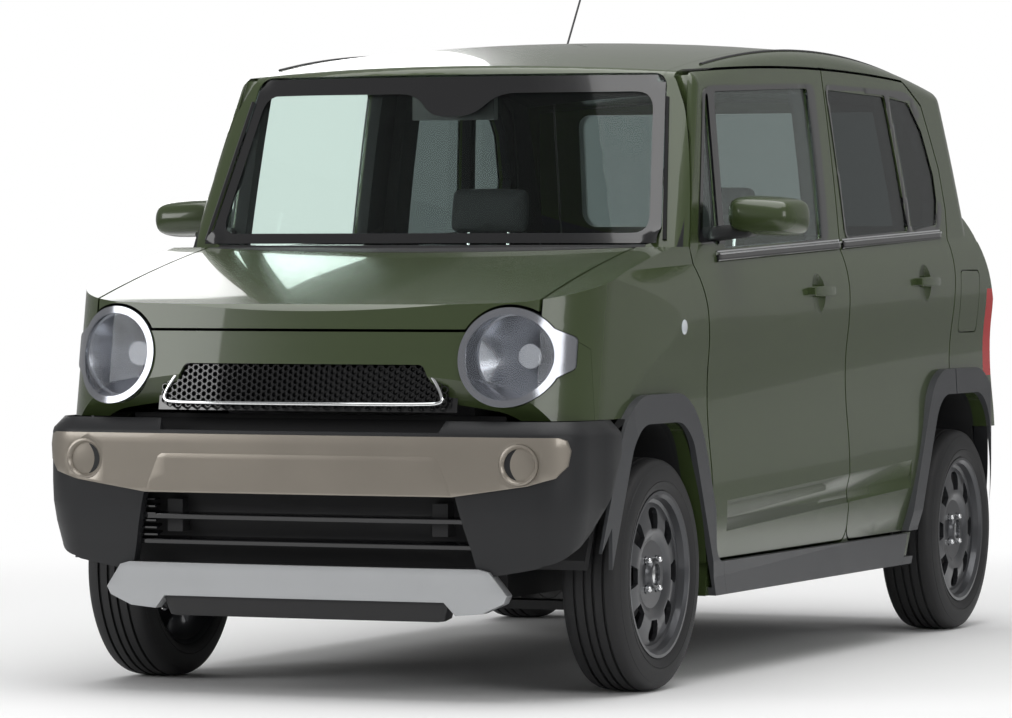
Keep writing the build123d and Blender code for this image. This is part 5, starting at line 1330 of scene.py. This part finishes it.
@dataclass
class DoorMirrors:
    """Rounded door mirrors with black feet and glass."""

    middle: Point = (0.818, -0.592, 1.182)
    half: Point = (0.104, 0.078, 0.060)

    def build(self) -> None:
        """Makes the left mirror and its twin."""
        shell, foot, glass = self.make_shell(), self.make_foot(), self.make_glass()
        for piece, name, slot, finish, node in (
            (shell, "mirror_shell", "body_paint", PAINT, "door_mirror"),
            (foot, "mirror_foot", "black_plastic", BLACK_TRIM, ""),
            (glass, "mirror_glass", "bright_trim", REFLECTOR, ""),
        ):
            other = twin(piece)
            for half, side in ((piece, "left"), (other, "right")):
                finish_piece(half, f"{name}_{side}", f"front_door_{side}", slot, finish, 60.0)
                if node:
                    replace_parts(half, f"{node}_{side}")

    def make_shell(self) -> bpy.types.Object:
        """Shapes the painted shell from a block.

        Returns:
            The shell.
        """
        deselect()
        bpy.ops.mesh.primitive_cube_add(size=2.0, location=self.middle, scale=self.half)
        shell = bpy.context.object
        bpy.ops.object.transform_apply(location=True, rotation=True, scale=True)
        x0, y0, z0 = self.middle
        for vertex in shell.data.vertices:
            offset = vertex.co - Vector(self.middle)
            front, outer = offset.y < 0.0, offset.x > 0.0
            if front:
                vertex.co.x = x0 + offset.x * (0.80 if outer else 0.88)
                vertex.co.z = z0 + offset.z * 0.84
            if outer and offset.z > 0.0:
                vertex.co.z -= 0.012
            if not outer and offset.z < 0.0:
                vertex.co.z += 0.006
        bpy.ops.object.mode_set(mode="EDIT")
        bpy.ops.mesh.select_all(action="SELECT")
        bpy.ops.mesh.bevel(offset=0.036, segments=2, affect="EDGES")
        bpy.ops.object.mode_set(mode="OBJECT")
        applied(shell, "SUBSURF", levels=2, render_levels=2)
        for vertex in shell.data.vertices:
            vertex.co.y = min(vertex.co.y, y0 + 0.070)
        return shell

    def make_foot(self) -> bpy.types.Object:
        """Shapes the black foot between door and shell.

        Returns:
            The foot.
        """
        foot = prism([(-0.655, 1.112), (-0.560, 1.116), (-0.566, 1.150), (-0.640, 1.152)], "X", 0.672, 0.790)
        for vertex in foot.data.vertices:
            if vertex.co.x > 0.75:
                vertex.co.z += 0.014
                vertex.co.y = -0.605 + (vertex.co.y + 0.605) * 0.72
        return eased(foot, 0.012, 3)

    def make_glass(self) -> bpy.types.Object:
        """Makes the mirror glass with its rounded rim.

        Returns:
            The glass.
        """
        x0, y0, z0 = self.middle
        spots = [(x0 - 0.078, z0 - 0.036), (x0 + 0.070, z0 - 0.040), (x0 + 0.076, z0 + 0.028),
                 (x0 - 0.078, z0 + 0.042)]
        glass = prism(spots, "Y", y0 + 0.066, y0 + 0.0725)
        deselect()
        glass.select_set(True)
        bpy.context.view_layer.objects.active = glass
        return eased(glass, 0.002)


def rounded(corners: Outline, radius: float, steps: int = 5) -> Outline:
    """Rounds the corners of an outline.

    Args:
        corners: its corner points in order.
        radius: how far from each corner the rounding starts.
        steps: points along each rounding.

    Returns:
        The rounded outline, with the same number of points for each corner.
    """
    points = []
    for number, corner in enumerate(corners):
        middle = Vector(corner)
        before, after = Vector(corners[number - 1]), Vector(corners[(number + 1) % len(corners)])
        reach_in = min(radius, (before - middle).length * 0.45)
        reach_out = min(radius, (after - middle).length * 0.45)
        start = middle + (before - middle).normalized() * reach_in
        end = middle + (after - middle).normalized() * reach_out
        for step in range(steps + 1):
            share = step / steps
            point = start.lerp(middle, share).lerp(middle.lerp(end, share), share)
            points.append((point.x, point.y))
    return points


@dataclass
class Glazing:
    """Black borders, belt mouldings, pillar trims and gutters round the glass."""

    belt_rise: float = 0.0355
    front_frame: Flat = (
        (-0.770, 1.108), (0.228, 1.119), (0.240, 1.546), (-0.560, 1.517), (-0.617, 1.505))
    front_window: Flat = (
        (-0.5805, 1.0977), (0.1725, 1.1244), (0.1805, 1.5315), (-0.5415, 1.502))
    front_quarter: Flat = (
        (-0.7395, 1.128), (-0.6195, 1.104), (-0.5885, 1.495), (-0.6055, 1.495))
    rear_frame: Flat = (
        (0.366, 1.122), (1.180, 1.144), (1.232, 1.205), (1.232, 1.300), (1.160, 1.448), (1.075, 1.532),
        (0.990, 1.5465),
        (0.331, 1.5475))
    rear_window: Flat = (
        (0.3805, 1.1318), (0.9095, 1.1506), (0.8225, 1.5315), (0.3455, 1.5325))
    rear_quarter: Flat = (
        (0.9455, 1.1519), (1.1675, 1.169), (1.1895, 1.240), (1.1825, 1.310), (1.1175, 1.435), (1.0275, 1.515),
        (0.8585, 1.531))

    def build(self) -> None:
        """Makes the trims of all windows."""
        self.make_window_frames()
        self.make_belts()
        self.make_screen_border()
        self.make_gutters()

    def make_window_frames(self) -> None:
        """Lays the black frames round the side windows."""
        for name, frame_line, holes, low, high in (
            ("front_door", self.front_frame, (self.front_quarter, self.front_window), -0.80, 0.27),
            ("rear_door", self.rear_frame, (self.rear_window, self.rear_quarter), 0.30, 1.26),
        ):
            skin = Skin(f"{name}_left", f"{name}_glass_left")

            def place(u: float, v: float) -> Vector:
                """Point just off the outside of the door."""
                start = (1.0, low + (high - low) * u, 1.07 + 0.50 * v)
                return skin.drop(start, (-1.0, 0.0, 0.0), 0.33 + 0.058 * v) + Vector((0.0022, 0.0, 0.0))

            face = sheet(60, 24, place)
            self.iron(face)
            applied(face, "SOLIDIFY", thickness=0.006, offset=-1.0)
            carved(face, [prism(rounded(list(frame_line), 0.035), "X", 0.5, 0.9)], "INTERSECT")
            carved(face, [prism(rounded(list(hole), 0.014), "X", 0.5, 0.9) for hole in holes])
            other = twin(face)
            for piece, side in ((face, "left"), (other, "right")):
                label = f"{name}_window_frame_{side}"
                finish_piece(piece, label, f"{name}_{side}", "black_plastic", GLOSS_BLACK)

    def iron(self, face: bpy.types.Object) -> None:
        """Keeps a laid sheet from dipping into the window openings.

        Args:
            face: the sheet, lying on the left side.
        """
        for vertex in face.data.vertices:
            glass = 0.698 - (vertex.co.z - BELT_Z) * SIDE_LEAN
            vertex.co.x = min(max(vertex.co.x, glass + 0.0015), glass + 0.006)

    def make_belts(self) -> None:
        """Lays the belt mouldings with their silver line under the side windows."""
        for name, low, high in (("front_door", -0.640, 0.306), ("rear_door", 0.330, 1.185)):
            skin = Skin(f"{name}_left")
            for label, foot, height, proud, slot, finish in (
                ("belt_moulding", -0.032, 0.024, 0.0075, "black_plastic", GLOSS_BLACK),
                ("belt_line", -0.0155, 0.0055, 0.0095, "bright_trim", CHROME),
            ):
                def place(u: float, v: float) -> Vector:
                    """Point on the strip's crowned face."""
                    y = low + (high - low) * u
                    z = 1.079 + self.belt_rise * (y - FRONT_AXLE_Y) + foot + height * v
                    crown = proud * (1.0 - (2.0 * v - 1.0) ** 4 * 0.55)
                    return skin.drop((1.0, y, z), (-1.0, 0.0, 0.0), 0.30) + Vector((crown, 0.0, 0.0))

                strip = applied(sheet(48, 6, place), "SOLIDIFY", thickness=proud + 0.002, offset=-1.0)
                eased(strip, 0.0012)
                other = twin(strip)
                for piece, side in ((strip, "left"), (other, "right")):
                    finish_piece(piece, f"{name}_{label}_{side}", f"{name}_{side}", slot, finish)

    def make_screen_border(self) -> None:
        """Lays the black border, the camera housing and the foot band on the windscreen."""
        skin = Skin("windscreen")
        box = NODES["windscreen"].bound_box
        low, high = min(c[2] for c in box), max(c[2] for c in box)
        half_low, half_high = 0.634, 0.572

        def place(u: float, v: float) -> Vector:
            """Point just off the outside of the glass."""
            z = low + 0.004 + (high - low - 0.010) * v
            half = half_low + (half_high - half_low) * v - 0.003
            x = half * (2.0 * u - 1.0)
            spot = skin.drop((x, -2.0, z), (0.0, 1.0, 0.0), 1.103 + SCREEN_RAKE * (z - SCREEN_FOOT_Z))
            return spot + Vector((0.0, -0.0010, 0.0))

        border = applied(sheet(48, 22, place), "SOLIDIFY", thickness=0.0012, offset=1.0)
        clear = [(-0.598, low + 0.030), (0.598, low + 0.030), (0.545, high - 0.048), (0.140, high - 0.050),
                 (0.078, high - 0.110), (-0.036, high - 0.110), (-0.090, high - 0.050),
                 (-0.545, high - 0.048)]
        carved(border, [prism(rounded(clear, 0.045), "Y", -1.2, -0.3)])
        finish_piece(border, "screen_border", "body", "black_plastic", GLOSS_BLACK, 60.0)

    def make_gutters(self) -> None:
        """Runs the black gutter strips along both roof edges and up the screen pillars."""
        skin = Skin("body_sides", "roof_panel")
        route = []
        for step in range(26):
            y = -0.50 + 1.62 * step / 25.0
            spot = skin.drop((0.600, y, 2.0), (0.0, 0.0, -1.0), 0.4)
            route.append((spot.x, spot.y, spot.z + 0.0005))
        strip = tube(route, 0.0045, True, 2)
        other = twin(strip)
        for piece, side in ((strip, "left"), (other, "right")):
            finish_piece(piece, f"roof_gutter_{side}", "body", "black_plastic", BLACK_TRIM)
        post_skin = Skin("body_sides", "windscreen", "roof_panel")
        route = []
        for step in range(16):
            share = step / 15.0
            z = 1.118 + 0.365 * share
            depth = 1.08 + SCREEN_RAKE * (z - SCREEN_FOOT_Z)
            spot = post_skin.drop((0.641 - 0.057 * share, -2.0, z), (0.0, 1.0, 0.0), depth)
            route.append((spot.x, spot.y - 0.001, spot.z))
        strip = tube(route, 0.0055, True, 2)
        other = twin(strip)
        for piece, side in ((strip, "left"), (other, "right")):
            finish_piece(piece, f"screen_post_trim_{side}", "body", "black_plastic", GLOSS_BLACK)


@dataclass
class DoorDetails:
    """Door skins with dished handle cups and a pressed foot line, and their handles."""

    handles: tuple[tuple[str, float, float], ...] = (("front_door", 0.0705, 0.985),
                                                     ("rear_door", 0.9755, 1.007))

    def build(self) -> None:
        """Makes the skins, handles and marker lamps."""
        for name, y, z in self.handles:
            for side, sign in (("left", 1.0), ("right", -1.0)):
                self.make_skin(name, side, sign, y, z)
            handle = self.make_handle(y, z)
            other = twin(handle)
            for piece, side in ((handle, "left"), (other, "right")):
                finish_piece(piece, f"{name}_handle_{side}", f"{name}_{side}", "body_paint", PAINT)
        self.make_markers()

    def make_skin(self, name: str, side: str, sign: float, y: float, z: float) -> None:
        """Copies a door and presses its cup and foot line.

        Args:
            name: the door's node without its side.
            side: left or right.
            sign: 1 on the left.
            y: the handle's place along the car.
            z: its height.
        """
        node = NODES[f"{name}_{side}"]
        skin = node.copy()
        skin.data = node.data.copy()
        bpy.context.collection.objects.link(skin)
        deselect()
        skin.select_set(True)
        bpy.context.view_layer.objects.active = skin
        bpy.ops.object.mode_set(mode="EDIT")
        bpy.ops.mesh.select_all(action="SELECT")
        bpy.ops.mesh.remove_doubles(threshold=0.00002)
        bpy.ops.object.mode_set(mode="OBJECT")
        deselect()
        bpy.ops.mesh.primitive_uv_sphere_add(
            segments=40, ring_count=24, location=(sign * 0.7385, y - 0.004, z), scale=(0.028, 0.058, 0.068))
        cup = bpy.context.object
        bpy.ops.object.transform_apply(location=True, rotation=True, scale=True)
        carved(skin, [cup, self.pressing(sign)])
        applied(skin, "TRIANGULATE")
        finish_piece(skin, f"{name}_skin_{side}", f"{name}_{side}", "body_paint", PAINT, 25.0)
        self.borrow_shading(skin, node, sign)
        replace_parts(skin, f"{name}_{side}")

    def borrow_shading(self, skin: bpy.types.Object, node: bpy.types.Object, sign: float) -> None:
        """Takes the CAD door's normals for the outer faces that still lie on it.

        Args:
            skin: the carved copy.
            node: the CAD door.
            sign: 1 on the left.
        """
        source, mesh = node.data, skin.data
        outer = [face for face in source.polygons if face.normal.x * sign > 0.2]
        tree = BVHTree.FromPolygons(
            [vertex.co for vertex in source.vertices], [list(face.vertices) for face in outer])
        shading = [corner.vector.copy() for corner in mesh.corner_normals]
        for face in mesh.polygons:
            if face.normal.x * sign < 0.2 or tree.find_nearest(face.center)[3] > 0.0004:
                continue
            for loop in face.loop_indices:
                spot, _, number, _ = tree.find_nearest(mesh.vertices[mesh.loops[loop].vertex_index].co)
                corners = [source.vertices[index].co for index in outer[number].vertices]
                normals = [source.corner_normals[index].vector for index in outer[number].loop_indices]
                shading[loop] = barycentric_transform(spot, *corners, *normals).normalized()
        mesh.normals_split_custom_set(shading)

    def pressing(self, sign: float) -> bpy.types.Object:
        """Solid that presses the long step above the sill, rising slightly towards the rear.

        Args:
            sign: 1 on the left.

        Returns:
            The solid.
        """
        section = [(0.780, 0.492), (0.7280, 0.492), (0.7165, 0.442), (0.7195, 0.410), (0.780, 0.398)]
        tool = prism([(sign * x, z) for x, z in section], "Y", -0.640, 0.850)
        applied(tool, "TRIANGULATE")
        for vertex in tool.data.vertices:
            vertex.co.z += 0.035 * (vertex.co.y - 0.3325)
        return tool

    def make_handle(self, y: float, z: float) -> bpy.types.Object:
        """Shapes a grip that bridges its cup.

        Args:
            y: place along the car.
            z: height.

        Returns:
            The left grip.
        """
        deselect()
        bpy.ops.mesh.primitive_cube_add(size=1.0, location=(0.7365, y, z), scale=(0.016, 0.170, 0.027))
        grip = bpy.context.object
        bpy.ops.object.transform_apply(location=True, rotation=True, scale=True)
        bpy.ops.object.mode_set(mode="EDIT")
        bpy.ops.mesh.select_all(action="SELECT")
        bpy.ops.mesh.subdivide(number_cuts=7)
        bpy.ops.object.mode_set(mode="OBJECT")
        for vertex in grip.data.vertices:
            share = (vertex.co.y - y) / 0.085
            vertex.co.x += 0.005 * (1.0 - share * share)
            vertex.co.z = z + (vertex.co.z - z) * (1.0 - 0.22 * share ** 4)
            if vertex.co.x < 0.734 and abs(share) > 0.62:
                vertex.co.x -= 0.014
        applied(grip, "SUBSURF", levels=1, render_levels=1)
        return grip

    def make_markers(self) -> None:
        """Makes the round side marker lamps on the front fenders."""
        skin = Skin("front_fenders")
        spot = skin.drop((1.0, -0.948, 0.900), (-1.0, 0.0, 0.0), 0.28)
        profile = [(-0.004, 0.0175), (0.0005, 0.0190), (0.0028, 0.0165), (0.0040, 0.0100), (0.0045, 0.0001),
                   (-0.004, 0.0001)]
        marker = turned(profile, tuple(spot), 32)
        marker = joined([marker, twin(marker)])
        finish_piece(marker, "side_markers", "body", "lens_glass", MARKER_WHITE, 50.0)


@dataclass
class Seats:
    """Padded seats, swollen from slightly smaller blocks by a cloth simulation."""

    cushion: Flat = (
        (-0.325, 0.462), (0.115, 0.447), (0.115, 0.553), (-0.318, 0.567), (-0.345, 0.540))
    backrest: Flat = (
        (0.118, 0.520), (0.205, 0.452), (0.325, 1.065), (0.312, 1.100), (0.268, 1.100))
    headrest: Flat = ((0.276, 1.145), (0.298, 1.270), (0.352, 1.262), (0.342, 1.145))
    rear_cushion: Flat = (
        (0.585, 0.402), (0.960, 0.402), (0.960, 0.527), (0.588, 0.550), (0.566, 0.530))
    rear_backrest: Flat = ((0.950, 0.515), (1.010, 0.500), (1.158, 1.062), (1.095, 1.080))

    def build(self) -> None:
        """Makes the front pair and the rear bench."""
        parts = [
            self.pad(self.cushion, 0.115, 0.555, 0.008, (0.225, 0.445)),
            self.pad(self.backrest, 0.115, 0.555, 0.008, (0.225, 0.445)),
            self.pad(self.headrest, 0.225, 0.445, 0.007, ()),
        ]
        for label, piece in zip(("cushion", "backrest", "headrest"), parts):
            other = twin(piece)
            for pad, side in ((piece, "left"), (other, "right")):
                finish_piece(pad, f"front_{label}_{side}", "body", "seat_fabric", SEAT_CLOTH, 60.0)
                if label == "cushion":
                    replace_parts(pad, "front_seats")
        posts = joined([tube([(x, 0.296, 1.08), (x, 0.312, 1.18)], 0.006) for x in (0.275, 0.395)])
        finish_piece(joined([posts, twin(posts)]), "headrest_posts", "body", "bright_trim", CHROME)
        for label, line in (("cushion", self.rear_cushion), ("backrest", self.rear_backrest)):
            pad = self.pad(line, -0.475, 0.475, 0.011, (-0.16, 0.16))
            finish_piece(pad, f"rear_{label}", "body", "seat_fabric", SEAT_CLOTH, 60.0)
            if label == "cushion":
                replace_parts(pad, "rear_seat")

    def pad(self, line: Outline, low: float, high: float, voxel: float,
            seams: Sequence[float]) -> bpy.types.Object:
        """Stuffs one pad.

        Args:
            line: its side view, as y and z.
            low: its inner side.
            high: its outer side.
            voxel: size of its cloth's faces.
            seams: where its sewn channels run, as x.

        Returns:
            The pad.
        """
        piece = prism(rounded(list(line), 0.030), "X", low, high)
        eased(piece, 0.022, 3)
        applied(piece, "REMESH", mode="VOXEL", voxel_size=voxel)
        self.swell(piece)
        applied(piece, "SUBSURF", levels=1, render_levels=1)
        ways = [vertex.normal.copy() for vertex in piece.data.vertices]
        for vertex, way in zip(piece.data.vertices, ways):
            depth = sum(math.exp(-((vertex.co.x - seam) / 0.006) ** 2) for seam in seams)
            vertex.co -= way * 0.006 * min(depth, 1.0) * (1.0 - abs(way.x))
        return piece

    def swell(self, piece: bpy.types.Object, cap: float = 0.024) -> None:
        """Blows the cloth up and keeps the swollen shape.

        Args:
            piece: the pad.
            cap: how far any point may move.
        """
        start = [vertex.co.copy() for vertex in piece.data.vertices]
        cloth = piece.modifiers.new("swell", "CLOTH")
        cloth.settings.use_pressure = True
        cloth.settings.uniform_pressure_force = 4.0
        cloth.settings.effector_weights.gravity = 0.0
        for frame in range(1, 21):
            bpy.context.scene.frame_set(frame)
        swollen = piece.evaluated_get(bpy.context.evaluated_depsgraph_get()).data
        moves = [swollen.vertices[number].co - place for number, place in enumerate(start)]
        piece.modifiers.remove(cloth)
        for vertex, place, move in zip(piece.data.vertices, start, moves):
            vertex.co = place + move * min(1.0, cap / max(move.length, 1e-9))
        bpy.context.scene.frame_set(1)


def main() -> None:
    """Builds the studio and the car's sub-assemblies in order."""
    for part in (Studio(), FramePieces(), FrontBumper(), UpperGrille(), RoadWheels(), DoorMirrors(),
                 Glazing(),
                 DoorDetails(), Seats()):
        part.build()
        LOG.info("built %s", type(part).__name__)


if __name__ == "__main__":
    logging.basicConfig(level=logging.INFO, format="%(name)s: %(message)s")
    main()
